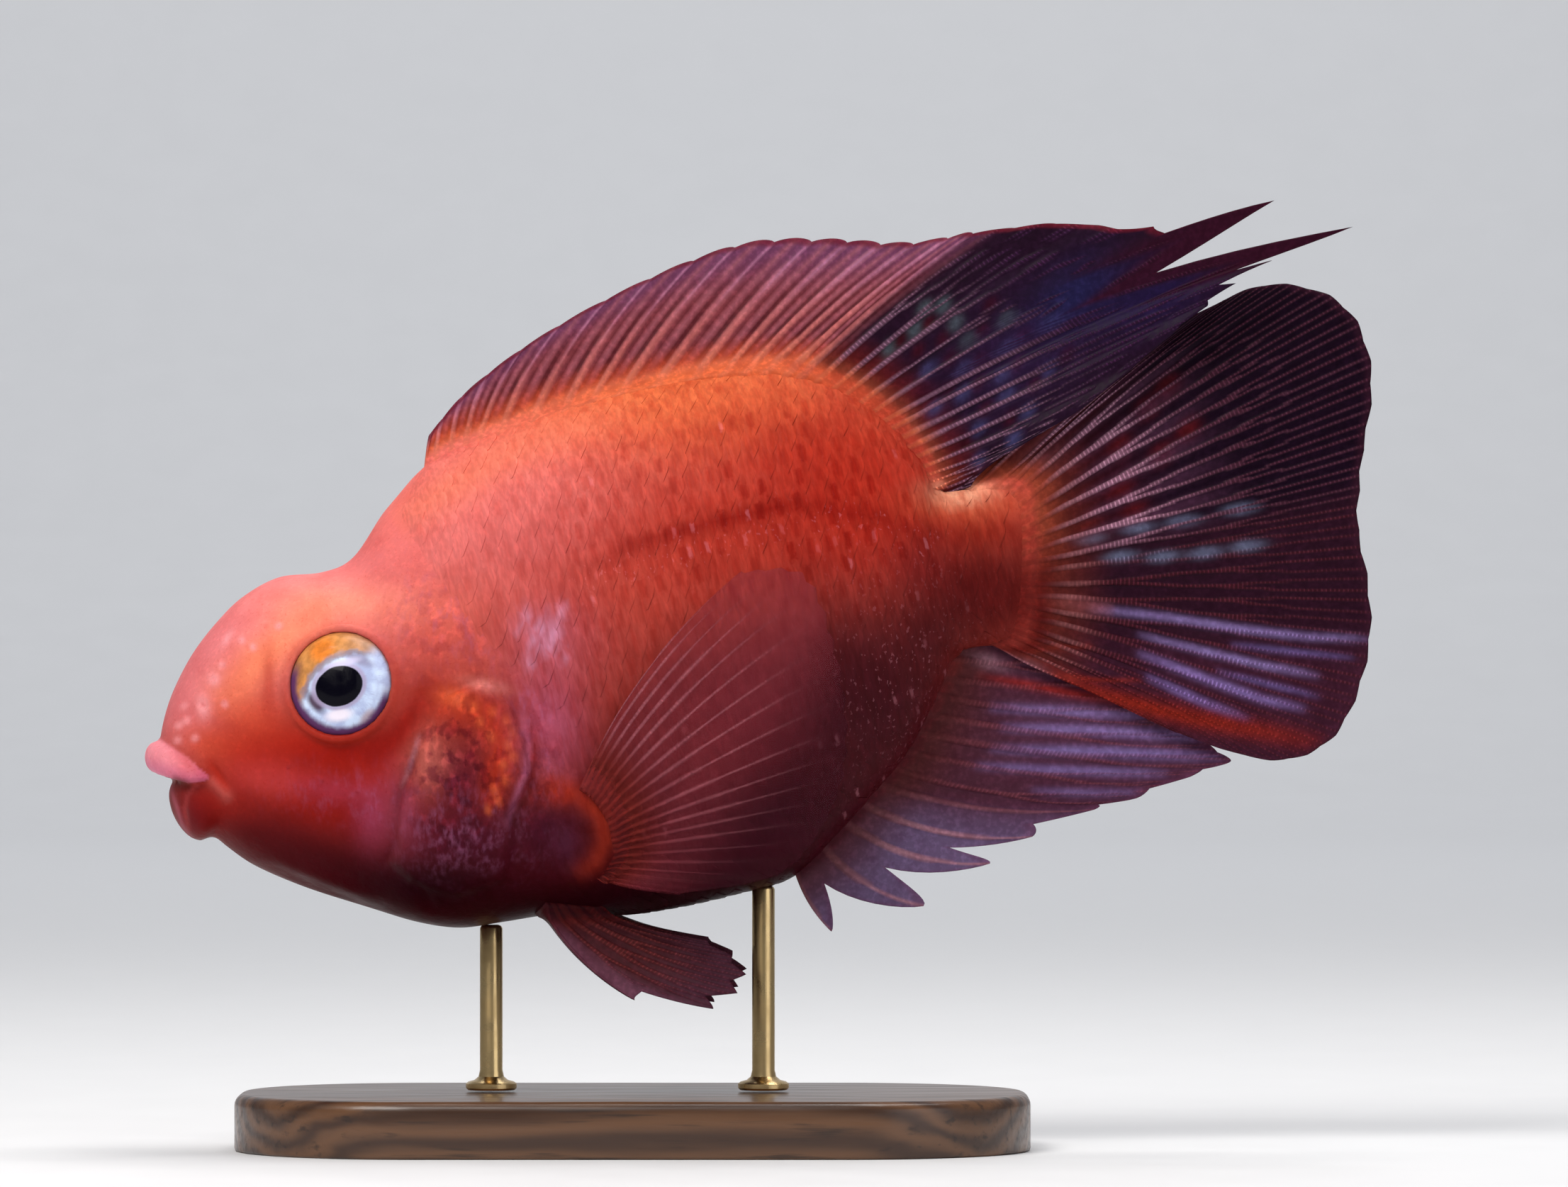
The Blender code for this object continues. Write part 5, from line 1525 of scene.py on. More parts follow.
    def rays_on(self, u: Array, v: Array, spacing: Array) -> tuple[Array, Array, Array]:
        """Where the rays stand on the sheet.

        Args:
            u: Places across the fin, in rays.
            v: Places along the rays.
            spacing: Millimetres from ray to ray there.

        Returns:
            How much of a ray each place is, how far it stands proud, and how far it is jointed.
        """
        near = np.round(u)
        off = u - near
        kind = np.zeros(len(u), dtype=int)
        for number, each in enumerate(self.kinds):
            kind[near >= each.first] = number
        ray, stand, joints = np.zeros(len(u)), np.zeros(len(u)), np.zeros(len(u))
        for number, each in enumerate(self.kinds):
            mine = kind == number
            half = each.root + (each.tip - each.root) * v[mine]
            spots = [np.zeros(mine.sum())]
            for step, start in enumerate(each.splits):
                apart = 0.26 / 2**step * ease(v[mine], start, start + 0.3)
                spots = [spot + sign * apart for spot in spots for sign in (-1, 1)]
                half = half * (1 - 0.32 * ease(v[mine], start, start + 0.25))
            gap = np.min([np.abs(off[mine] - spot) for spot in spots], axis=0) * spacing[mine]
            crest = np.clip(1 - (gap / half) ** 2, 0, 1)
            ray[mine] = np.sqrt(crest)
            stand[mine] = np.sqrt(crest) * each.stand * (1 - 0.6 * v[mine])
            joints[mine] = each.joints * ease(v[mine], 0.12, 0.3)
        return ray, stand, joints

    def lifted(self, middle: Array, v: Array, side: Side) -> Array:
        """Moves the sheet clear of the body where a fin lies along it; this plain fin leaves the sheet as it is."""
        return middle

    def veil(self, u: Array, v: Array, out: Array, ray: Array) -> Array:
        """How solid the fin is to the eye."""
        return np.full(len(u), 1.0)

    def paint(self, u: Array, v: Array, part: Array, out: Array, ray: Array, at: Array, length: Array) -> Array:
        """The fin's colours.

        Args:
            u: Places across the fin, in rays.
            v: Places along the rays.
            part: The share of the way from one ray to the next.
            out: Millimetres out of the flesh.
            ray: How much of a ray each place is.
            at: Places on the portrait plane.
            length: The length of the ray there.

        Returns:
            One colour for each place.
        """
        raise NotImplementedError


class Brush:
    """Lays colours one over another on a set of places."""

    def __init__(self, colour: Colour, count: int) -> None:
        """Starts with one colour all over."""
        self.colours = np.tile(np.array(colour, dtype=float), (count, 1))

    def lay(self, share: Array, colour: Colour) -> None:
        """Lays a colour on by a share of 0 to 1."""
        share = np.clip(share, 0, 1)[:, None]
        self.colours = self.colours * (1 - share) + np.array(colour) * share

    def mark(self, marks: tuple[Patch | Stroke, ...], at: Array, share: Array) -> None:
        """Lays patches and strokes on, each by its own cover and a share of 0 to 1."""
        for each in marks:
            self.lay(each.cover(at) * share, each.colour)


@dataclass
class DorsalFin(Fin):
    """The dorsal fin: spines in front, soft rays drawn out to filaments behind."""

    name: str = "dorsal_fin_dressed"
    guides: tuple[Row, ...] = (
        (-47.4, 93.8, -46.6, 100.7, 0.0, 0.04),
        (-42.9, 96.2, -41.2, 106.9, 0.2, 0.06),
        (-38.6, 98.2, -30.8, 114.6, 0.5, 0.06),
        (-29.0, 101.8, -16.4, 122.3, 0.9, 0.05),
        (-20.4, 104.2, -2.8, 127.3, 0.9, 0.035),
        (-9.0, 106.4, 9.4, 127.9, 0.3, 0.03),
        (-2.0, 107.2, 20.2, 127.4, -0.6, 0.03),
        (3.6, 106.6, 29.9, 129.0, -1.6, 0.03),
    )
    count: int = 17
    soft_guides: tuple[Row, ...] = (
        (5.2, 105.4, 35.8, 129.8, -1.8, 0.03),
        (6.6, 103.6, 41.6, 130.4, -2.0, 0.03),
        (8.2, 103.0, 47.4, 130.2, -2.5, 0.03),
        (10.0, 102.0, 55.2, 130.0, -3.0, 0.03),
        (11.6, 101.0, 72.2, 133.7, -3.4, 0.03),
        (13.0, 100.0, 83.2, 130.0, -3.8, 0.035),
        (14.2, 99.0, 71.7, 125.2, -4.0, 0.025),
        (15.2, 97.8, 66.7, 122.0, -4.1, 0.01),
        (16.2, 96.6, 62.7, 118.8, -4.1, 0.0),
        (17.1, 95.4, 57.6, 114.6, -4.0, -0.01),
        (17.8, 94.2, 51.7, 109.5, -3.7, -0.02),
        (18.4, 93.2, 44.7, 104.0, -3.2, -0.02),
        (18.9, 92.2, 37.7, 99.8, -2.4, -0.02),
        (19.4, 91.2, 32.4, 96.4, -1.8, -0.02),
        (19.8, 90.2, 29.6, 93.4, -1.2, -0.02),
    )
    webs: tuple[float, ...] = (1.026,) * 16 + (
        1.01, 1.008, 1.0, 0.99, 0.88, 0.66, 0.82, 0.92, 0.96, 0.97, 0.97, 0.97, 0.97, 0.97, 0.97,
    )
    flare: float = 2.0
    flare_reach: float = 1.3
    kinds: tuple[Ray, ...] = (
        Ray(0.0, 0.75, 0.48, 0.75),
        Ray(17.0, 0.46, 0.30, 0.55, (0.35, 0.66), 1.0),
    )
    rows: int = 96
    marks: tuple[Patch | Stroke, ...] = (
        *dabs(
            ((18.2, 113.0), (21.7, 115.5), (23.2, 118.5), (25.7, 119.0), (29.2, 114.0), (34.7, 117.0), (27.5, 116.4)),
            0.9, 1.4, -35.0, (0.065, 0.085, 0.10), 0.75,
        ),
        *dabs(
            ((23.7, 110.0), (28.7, 110.0), (34.7, 113.0), (28.7, 106.5), (34.2, 109.0), (34.7, 106.5), (37.7, 104.0),
             (40.7, 110.0), (30.7, 101.5), (35.7, 100.0), (30.7, 97.0), (40.7, 116.5), (24.6, 104.4)),
            0.85, 1.5, -40.0, (0.05, 0.05, 0.14), 0.75,
        ),
        *dabs(
            ((19.7, 114.0), (22.2, 112.5), (23.7, 116.4), (25.7, 114.2), (26.7, 111.5), (31.2, 115.5), (26.7, 107.5),
             (30.7, 111.0), (36.7, 114.5), (30.7, 108.0), (36.2, 110.8), (31.7, 104.5), (38.7, 108.0), (35.2, 103.0),
             (28.7, 99.5), (29.7, 95.2), (22.7, 106.5), (21.7, 103.0), (43.2, 112.0), (32.4, 119.0)),
            0.8, 1.4, -30.0, (0.035, 0.001, 0.003), 0.92,
        ),
        Patch(36.0, 112.0, 13.0, 8.0, 30.0, (0.024, 0.010, 0.050), 0.5),
        Patch(44.5, 120.5, 7.0, 4.0, 40.0, (0.012, 0.016, 0.08), 0.6),
        Patch(56.0, 121.0, 9.0, 4.5, 30.0, (0.014, 0.010, 0.07), 0.5),
    )

    def paint(self, u: Array, v: Array, part: Array, out: Array, ray: Array, at: Array, length: Array) -> Array:
        """Peach to lilac spines with dark wedges between, then lilac rays on violet, in spots."""
        spiny = ease(u, 17.0, 15.6)
        soft, web = 1 - spiny, 1 - ray
        brush = Brush((0.24, 0.050, 0.062), len(u))
        brush.lay(ease(v, 0.55, 0.95) * 0.7, (0.12, 0.042, 0.12))
        side_band = np.exp(-(((part - 0.50) / 0.11) ** 2)) * ease(v, 0.0, 0.25)
        brush.lay(0.65 * side_band * web, (0.34, 0.10, 0.13))
        thin = np.exp(-(((part - 0.27) / 0.07) ** 2))
        brush.lay(0.75 * thin * web * ease(v, 1.0, 0.5), (0.085, 0.008, 0.012))
        # painted shade: a dark wedge on the membrane just in front of each spine
        wedge = np.exp(-(((part - 0.75) / (0.13 - 0.05 * v)) ** 2))
        brush.lay(0.95 * wedge * web * ease(v, 1.0, 0.45), (0.05, 0.003, 0.006))
        brush.lay(0.9 * web * ease(out, 7.0, 1.0), (0.42, 0.040, 0.012))
        brush.lay(0.9 * ease(out, 3.2, 0.2), (0.72, 0.15, 0.062))
        brush.lay(ray * 0.88, (0.50, 0.135, 0.125))
        brush.lay(ray * ease(v, 0.35, 0.95) * 0.8, (0.34, 0.14, 0.27))
        brush.lay(0.8 * ease(out, 7.0, 0.6) * (0.25 + 0.75 * ray), (0.64, 0.15, 0.065))
        brush.lay(soft, (0.014, 0.003, 0.012))
        brush.lay(soft * ease(out, 9.0, 3.0) * 0.8, (0.11, 0.008, 0.006))
        brush.mark(self.marks, at, soft * (1 - 0.85 * ray))
        brush.lay(soft * ray * ease(out, 32.0, 8.0) * 0.75, (0.22, 0.11, 0.17))
        brush.lay(soft * ray * ease(out, 16.0, 32.0) * 0.8, (0.034, 0.009, 0.036))
        brush.lay(soft * ease(out, 4.5, 0.5) * (0.3 + 0.7 * ray), (0.52, 0.12, 0.05))
        top = ease((1 - v) * length, 1.6, 0.5) * ease(u, 23.5, 22.0)
        brush.lay(0.8 * top, (0.14, 0.010, 0.022))
        trail = ease(np.abs(u - 21.6), 1.9, 0.6) * ease(v, 0.66, 0.84)
        brush.lay(0.9 * trail, (0.030, 0.003, 0.012))
        return brush.colours


@dataclass
class TailFin(Fin):
    """The tail fin, a fan of branching rays behind the tail stalk."""

    name: str = "tail_fin_dressed"
    guides: tuple[Row, ...] = (
        (26.8, 92.4, 49.4, 112.4, 1.0, 0.0),
        (30.6, 91.4, 62.4, 118.2, 2.2, 0.02),
        (32.4, 89.6, 72.6, 122.2, 3.0, 0.03),
        (33.4, 87.6, 83.0, 119.2, 3.0, 0.02),
        (34.0, 85.4, 86.9, 109.6, 2.2, 0.01),
        (34.3, 83.0, 85.4, 98.0, 1.0, 0.0),
        (34.3, 80.8, 84.6, 87.8, 0.0, 0.0),
        (34.1, 78.6, 86.3, 76.6, -0.8, 0.0),
        (33.6, 76.6, 84.8, 65.6, -1.4, 0.0),
        (32.8, 74.8, 79.8, 57.0, -1.4, 0.01),
        (31.8, 73.4, 70.8, 54.8, -1.0, 0.02),
        (30.0, 72.2, 58.6, 58.8, -0.4, 0.0),
    )
    count: int = 21
    webs: tuple[float, ...] = (0.993,)
    kinds: tuple[Ray, ...] = (Ray(0.0, 0.42, 0.34, 0.6, (0.24, 0.52), 1.0),)
    columns: int = 18
    rows: int = 96
    flare: float = 3.6
    flare_reach: float = 4.0
    taper: float = 0.6
    swell: float = 0.0
    melt: float = 2.0
    marks: tuple[Patch | Stroke, ...] = (
        *dabs(
            ((46.2, 86.0), (53.2, 87.5), (59.7, 88.5), (67.7, 90.2), (50.7, 83.5), (56.7, 83.5), (62.7, 84.0), (68.7, 85.0)),
            2.4, 0.85, 8.0, (0.105, 0.115, 0.19), 0.8,
        ),
        *dabs(
            ((50.7, 99.0), (54.7, 104.5), (57.7, 107.5), (50.7, 93.0), (56.7, 98.0), (52.7, 90.0), (45.7, 88.0), (60.5, 101.5)),
            1.5, 2.2, -45.0, (0.075, 0.003, 0.004), 0.8,
        ),
        Stroke(((32.0, 95.0), (38.0, 100.0), (45.0, 105.5), (53.0, 111.5)), 2.0, (0.13, 0.024, 0.022), 0.7),
        Patch(37.5, 95.0, 4.5, 2.0, 40.0, (0.20, 0.10, 0.17), 0.6),
        Stroke(((46.0, 76.3), (57.7, 74.9), (67.7, 73.3), (77.0, 72.2), (87.0, 71.8)), 0.6, (0.19, 0.13, 0.31), 0.95),
        Stroke(((53.0, 72.6), (62.7, 70.1), (70.7, 68.2), (79.0, 66.6)), 0.6, (0.19, 0.13, 0.31), 0.95),
        Stroke(((53.0, 70.0), (62.7, 66.3), (70.7, 63.4), (77.0, 62.0)), 0.65, (0.20, 0.13, 0.34), 0.95),
        Stroke(((54.0, 66.9), (62.7, 62.8), (69.0, 60.4)), 0.7, (0.17, 0.11, 0.30), 0.85),
        Stroke(((66.0, 71.2), (74.0, 70.2), (84.0, 69.2)), 0.5, (0.12, 0.08, 0.23), 0.7),
        Stroke(((64.0, 67.4), (70.0, 65.9), (79.0, 63.7)), 0.5, (0.12, 0.08, 0.23), 0.7),
        Stroke(((34.5, 69.8), (47.7, 64.0), (56.7, 61.7), (62.7, 60.4), (70.0, 59.0), (80.0, 57.0)), 1.5, (0.22, 0.015, 0.007), 0.95),
        Stroke(((35.0, 69.7), (40.7, 70.6), (47.0, 71.0)), 0.4, (0.26, 0.020, 0.012), 0.8),
        Stroke(((37.0, 67.4), (45.7, 66.2), (54.0, 66.0)), 0.4, (0.22, 0.020, 0.014), 0.8),
        Stroke(((36.0, 78.0), (44.0, 76.8), (50.0, 76.0)), 0.9, (0.30, 0.09, 0.10), 0.7),
        # painted highlights in the hollow under the tail stalk
        Patch(33.5, 70.4, 2.4, 0.8, -25.0, (0.60, 0.34, 0.40), 0.7),
        Patch(37.4, 68.3, 2.6, 0.8, -22.0, (0.45, 0.24, 0.32), 0.7),
    )

    def paint(self, u: Array, v: Array, part: Array, out: Array, ray: Array, at: Array, length: Array) -> Array:
        """Orange at the root; pink-lilac rays on maroon above, lavender streaks on mauve below."""
        web = 1 - ray
        upper = ease(u, 10.6, 9.4)
        lower = 1 - upper
        brush = Brush((0.007, 0.001, 0.007), len(u))
        brush.lay(upper * web * ease(out, 22.0, 10.0) * 0.7, (0.036, 0.002, 0.005))
        brush.lay(lower * 0.9, (0.022, 0.004, 0.012))
        brush.lay(lower * 0.7 * ease(at[:, 1], 76.0, 66.0), (0.050, 0.010, 0.024))
        brush.lay(lower * ray * 0.5, (0.085, 0.014, 0.020))
        brush.mark(self.marks, at, 1 - 0.6 * ray * upper)
        bright = np.exp(-(((out - 13.0) / 9.0) ** 2))
        bundle = np.exp(-((np.minimum(part, 1 - part) / 0.3) ** 2)) * ease(out, 4.0, 10.0) * ease(out, 34.0, 20.0)
        brush.lay(upper * bundle * 0.6, (0.070, 0.022, 0.050))
        brush.lay(upper * ray * (0.40 + 0.45 * bright), (0.22, 0.085, 0.13))
        brush.lay(upper * ray * bright * 0.4, (0.42, 0.24, 0.32))
        brush.lay(upper * ray * ease(out, 16.0, 34.0) * 0.85, (0.045, 0.009, 0.020))
        brush.lay(0.85 * ease(out, 13.0, 2.5) * (1 - 0.5 * ray), (0.115, 0.016, 0.010))
        brush.lay(0.4 * np.exp(-(((out - 6.5) / 3.0) ** 2)) * ray, (0.30, 0.11, 0.11))
        high = ease(at[:, 1], 79.0, 91.0)
        brush.lay(0.9 * ease(out, 5.0, 1.0), (0.11, 0.006, 0.004))
        brush.lay(0.85 * ease(out, 6.5, 0.5) * high, (0.36, 0.065, 0.030))
        brush.lay(0.35 * ease((1 - v) * length, 1.6, 0.2), (0.06, 0.012, 0.028))
        return brush.colours


@dataclass
class AnalFin(Fin):
    """The anal fin, whose front spines stand free of each other for most of their length."""

    name: str = "anal_fin_dressed"
    guides: tuple[Row, ...] = (
        (4.2, 41.4, 10.0, 30.6, 0.0, -0.08),
        (7.4, 44.6, 23.0, 34.2, 0.3, -0.10),
        (10.2, 47.4, 32.4, 40.2, 0.6, -0.10),
        (12.4, 49.8, 38.4, 44.0, 0.8, -0.08),
        (14.4, 52.2, 47.2, 47.8, 1.0, -0.06),
        (16.4, 54.4, 53.2, 49.4, 1.2, -0.05),
        (18.2, 56.6, 60.8, 52.4, 1.4, -0.04),
        (19.9, 59.2, 66.6, 54.6, 1.6, -0.03),
        (21.2, 61.8, 63.0, 57.4, 1.8, -0.03),
        (22.4, 64.4, 57.0, 61.0, 1.7, -0.03),
        (23.4, 66.8, 50.6, 64.4, 1.6, -0.02),
        (24.4, 69.6, 44.8, 67.9, 1.4, -0.02),
        (25.2, 71.9, 39.6, 71.2, 1.0, -0.02),
    )
    count: int = 13
    webs: tuple[float, ...] = (0.42, 0.5, 0.66, 0.86, 0.93, 0.95, 0.96, 0.98, 0.98, 0.98, 0.98, 0.98)
    kinds: tuple[Ray, ...] = (Ray(0.0, 0.75, 0.4, 0.8), Ray(5.0, 0.6, 0.4, 0.6, (0.45, 0.75), 0.5))
    columns: int = 16
    rows: int = 80
    notch: float = 1.4
    marks: tuple[Patch | Stroke, ...] = (
        Stroke(((32.0, 62.2), (44.0, 61.6), (55.0, 60.8)), 0.75, (0.19, 0.12, 0.29), 0.95),
        Stroke(((33.5, 59.4), (46.0, 59.0), (63.5, 57.8)), 0.8, (0.20, 0.13, 0.32), 0.95),
        Stroke(((32.0, 56.4), (46.0, 56.0), (66.0, 55.2)), 0.8, (0.18, 0.12, 0.30), 0.95),
        Stroke(((30.0, 54.0), (42.0, 53.4), (58.0, 52.8)), 0.7, (0.17, 0.11, 0.27), 0.9),
        Stroke(((38.0, 50.6), (45.0, 50.2), (54.0, 50.2)), 0.6, (0.15, 0.09, 0.22), 0.8),
        Stroke(((30.0, 66.8), (42.0, 64.6), (52.0, 62.8)), 0.7, (0.24, 0.016, 0.012), 0.85),
        # painted highlight in the hollow under the tail stalk
        Patch(31.5, 68.8, 2.6, 0.9, -15.0, (0.48, 0.26, 0.34), 0.7),
    )

    def paint(self, u: Array, v: Array, part: Array, out: Array, ray: Array, at: Array, length: Array) -> Array:
        """Pale pink front spines, then mauve rays between lavender streaks."""
        brush = Brush((0.070, 0.018, 0.032), len(u))
        brush.lay(ease(v, 0.2, 0.9) * 0.4, (0.060, 0.020, 0.055))
        front = ease(u, 4.5, 2.5)
        brush.lay(front * 0.85, (0.15, 0.10, 0.20))
        brush.lay(ray * 0.7, (0.14, 0.034, 0.046))
        brush.mark(self.marks, at, 1 - 0.35 * ray)
        brush.lay(ray * front * 0.9, (0.36, 0.17, 0.22))
        brush.lay(0.8 * ease(out, 9.0, 1.0), (0.085, 0.016, 0.014))
        brush.lay(0.35 * ease((1 - v) * length, 2.5, 0.3), (0.15, 0.04, 0.09))
        return brush.colours


@dataclass
class PectoralFin(Fin):
    """A pectoral fin: a thin veil on fine rays, fanned out along the flank."""

    name: str = "pectoral_fin_dressed"
    guides: tuple[Row, ...] = (
        (-25.6, 50.6, -2.6, 81.4, 23.4, 0.06),
        (-24.0, 49.0, 6.2, 81.0, 24.4, 0.05),
        (-22.6, 47.0, 10.6, 70.6, 25.2, 0.03),
        (-21.8, 44.8, 12.2, 58.0, 25.4, 0.01),
        (-21.8, 42.6, 9.8, 48.0, 24.8, 0.0),
        (-22.6, 40.4, 2.8, 39.4, 23.4, -0.01),
        (-24.2, 38.6, -11.2, 36.6, 20.4, -0.02),
    )
    count: int = 20
    webs: tuple[float, ...] = (0.985,)
    kinds: tuple[Ray, ...] = (Ray(0.0, 0.30, 0.18, 0.35, (), 0.5),)
    columns: int = 10
    rows: int = 64
    web_root: float = 0.7
    web_edge: float = 0.35
    flare: float = 1.2
    melt: float = 4.0
    ripple: float = 0.12
    sunk: float = 1.6
    clear: float = 0.9

    def at(self, u: Array, v: Array) -> Array:
        """Points of the fin's middle sheet on the left side."""
        rows = self.ray_table()
        deep = np.array([self.flank(row[0], row[1]) - self.sunk for row in rows])
        rx, rz, tx, tz, drift, bow = spline(rows, u).T
        root = np.column_stack([rx, -np.interp(u, np.arange(len(rows)), deep), rz])
        return self.arch(root, np.column_stack([tx, -drift, tz]), bow, v)

    def flank(self, x: float, z: float) -> float:
        """How far from the midline the flesh reaches at this place of the side view."""
        hit = self.skin.tree.ray_cast(Vector((x, -90.0, z)), Vector((0, 1, 0)))[0]
        return abs(hit.y) if hit else 0.0

    def leaves_flesh(self, last: int) -> Array:
        """The share of each ray at which it comes out of the body."""
        return np.full(last + 1, 0.06)

    def lifted(self, middle: Array, v: Array, side: Side) -> Array:
        """Keeps the fin off the flank, and mirrors it for the right side."""
        for place, share in zip(middle, v):
            least = self.flank(place[0], place[2]) + (self.clear + 2 * share) * ease(np.array(share), 0.04, 0.16)
            if share > 0.04 and -place[1] < least:
                place[1] = -least
        if side is Side.RIGHT:
            middle[:, 1] *= -1
        return middle

    def veil(self, u: Array, v: Array, out: Array, ray: Array) -> Array:
        """A see-through web on more solid rays."""
        root = ease(out, 4.0, 0.0)
        return np.clip(0.26 + 0.28 * ray * ease(v, 0.92, 0.5) + 0.6 * root, 0, 1)

    def paint(self, u: Array, v: Array, part: Array, out: Array, ray: Array, at: Array, length: Array) -> Array:
        """A pinkish mauve web, pale rays and an orange root."""
        brush = Brush((0.25, 0.034, 0.048), len(u))
        rear = ease(at[:, 0] - 0.7 * (at[:, 1] - 60.0), -6.0, 12.0)
        brush.lay(rear * 0.95, (0.028, 0.003, 0.009))
        brush.lay(ray * 0.6 * ease(at[:, 1], 34.0, 60.0) * (0.2 + 0.8 * ease(out, 2.0, 9.0)) * ease(v, 0.98, 0.5), (0.46, 0.16, 0.19))
        brush.lay(0.85 * ease(out, 9.0, 2.0), (0.22, 0.022, 0.012))
        return brush.colours


@dataclass
class PelvicFin(Fin):
    """A pelvic fin under the belly, its first ray the longest."""

    name: str = "pelvic_fin_dressed"
    guides: tuple[Row, ...] = (
        (-31.2, 34.4, -17.6, 21.4, 11.6, -0.07, 6.8),
        (-30.6, 34.6, -6.6, 20.2, 12.6, -0.07, 6.4),
        (-30.0, 34.8, -3.2, 22.4, 12.2, -0.06, 6.0),
        (-29.4, 35.0, -2.0, 25.0, 11.2, -0.05, 5.6),
        (-28.8, 35.2, -4.0, 27.6, 9.8, -0.04, 5.2),
        (-28.2, 35.4, -7.4, 29.6, 8.4, -0.03, 4.8),
    )
    count: int = 6
    webs: tuple[float, ...] = (0.8, 0.88, 0.93, 0.95, 0.95)
    kinds: tuple[Ray, ...] = (Ray(0.0, 0.6, 0.35, 0.7), Ray(1.0, 0.45, 0.3, 0.5, (0.3, 0.6), 0.7))
    columns: int = 20
    rows: int = 64
    web_root: float = 0.8
    web_edge: float = 0.2
    ripple: float = 0.15

    def at(self, u: Array, v: Array) -> Array:
        """Points of the fin's middle sheet on the left side."""
        rx, rz, tx, tz, drift, bow, root_y = spline(self.ray_table(), u).T
        return self.arch(np.column_stack([rx, -root_y, rz]), np.column_stack([tx, -drift, tz]), bow, v)

    def lifted(self, middle: Array, v: Array, side: Side) -> Array:
        """Mirrors the fin for the right side."""
        if side is Side.RIGHT:
            middle[:, 1] *= -1
        return middle

    def paint(self, u: Array, v: Array, part: Array, out: Array, ray: Array, at: Array, length: Array) -> Array:
        """Dark red with a paler first ray."""
        brush = Brush((0.055, 0.010, 0.014), len(u))
        brush.lay(ray * 0.6, (0.13, 0.022, 0.020))
        brush.lay(ease(v, 0.5, 1.0) * 0.5, (0.06, 0.022, 0.045))
        brush.lay(ease(u, 1.2, 0.2) * 0.6, (0.16, 0.055, 0.09))
        brush.lay(0.7 * ease(out, 4.0, 0.5), (0.09, 0.006, 0.004))
        return brush.colours


@dataclass
class Eyes:
    """Both eyes: flattened balls with a raised pupil, set in their sockets."""

    body: BodyForm
    skin: Skin
    seen_radius: float = 7.2
    seen_shift: tuple[float, float] = (0.095, -0.067)

    def build(self, finish: bpy.types.Material, side: Side) -> bpy.types.Object:
        """Makes one eye.

        Args:
            finish: What it is dressed in.
            side: The side of the head.

        Returns:
            The finished piece.
        """
        piece, _, _ = Bench.ball(f"eye_{side.name.lower()}_dressed", 128, 96)
        local = Bench.places(piece)
        flat = local[:, :2].copy()
        reach = np.linalg.norm(flat, axis=1)
        local *= (self.skin.eye_radius, self.skin.eye_radius, self.skin.eye_bulge)
        front = local[:, 2] > 0
        local[:, 2] += np.where(front, 0.30 * ease(reach, 0.5, 0.3) - 0.12 * np.exp(-(((reach - 0.56) / 0.08) ** 2)), 0)
        frame = np.array(self.skin.upright(*self.skin.eye_place, side, self.skin.eye_sink - 0.15))
        places = local @ frame[:3, :3].T + frame[:3, 3]
        Bench.put(piece, places)
        centre = frame[:3, 3]
        flat = (places[:, (0, 2)] - centre[[0, 2]]) / self.seen_radius + self.seen_shift
        Bench.unwrap(piece, "Eye", flat)
        layer = piece.data.uv_layers.get("UVMap")
        if layer:
            piece.data.uv_layers.remove(layer)
        Bench.outwards(piece)
        self.body.settle(piece)
        Bench.smooth(piece)
        Bench.dress(piece, finish)
        return piece


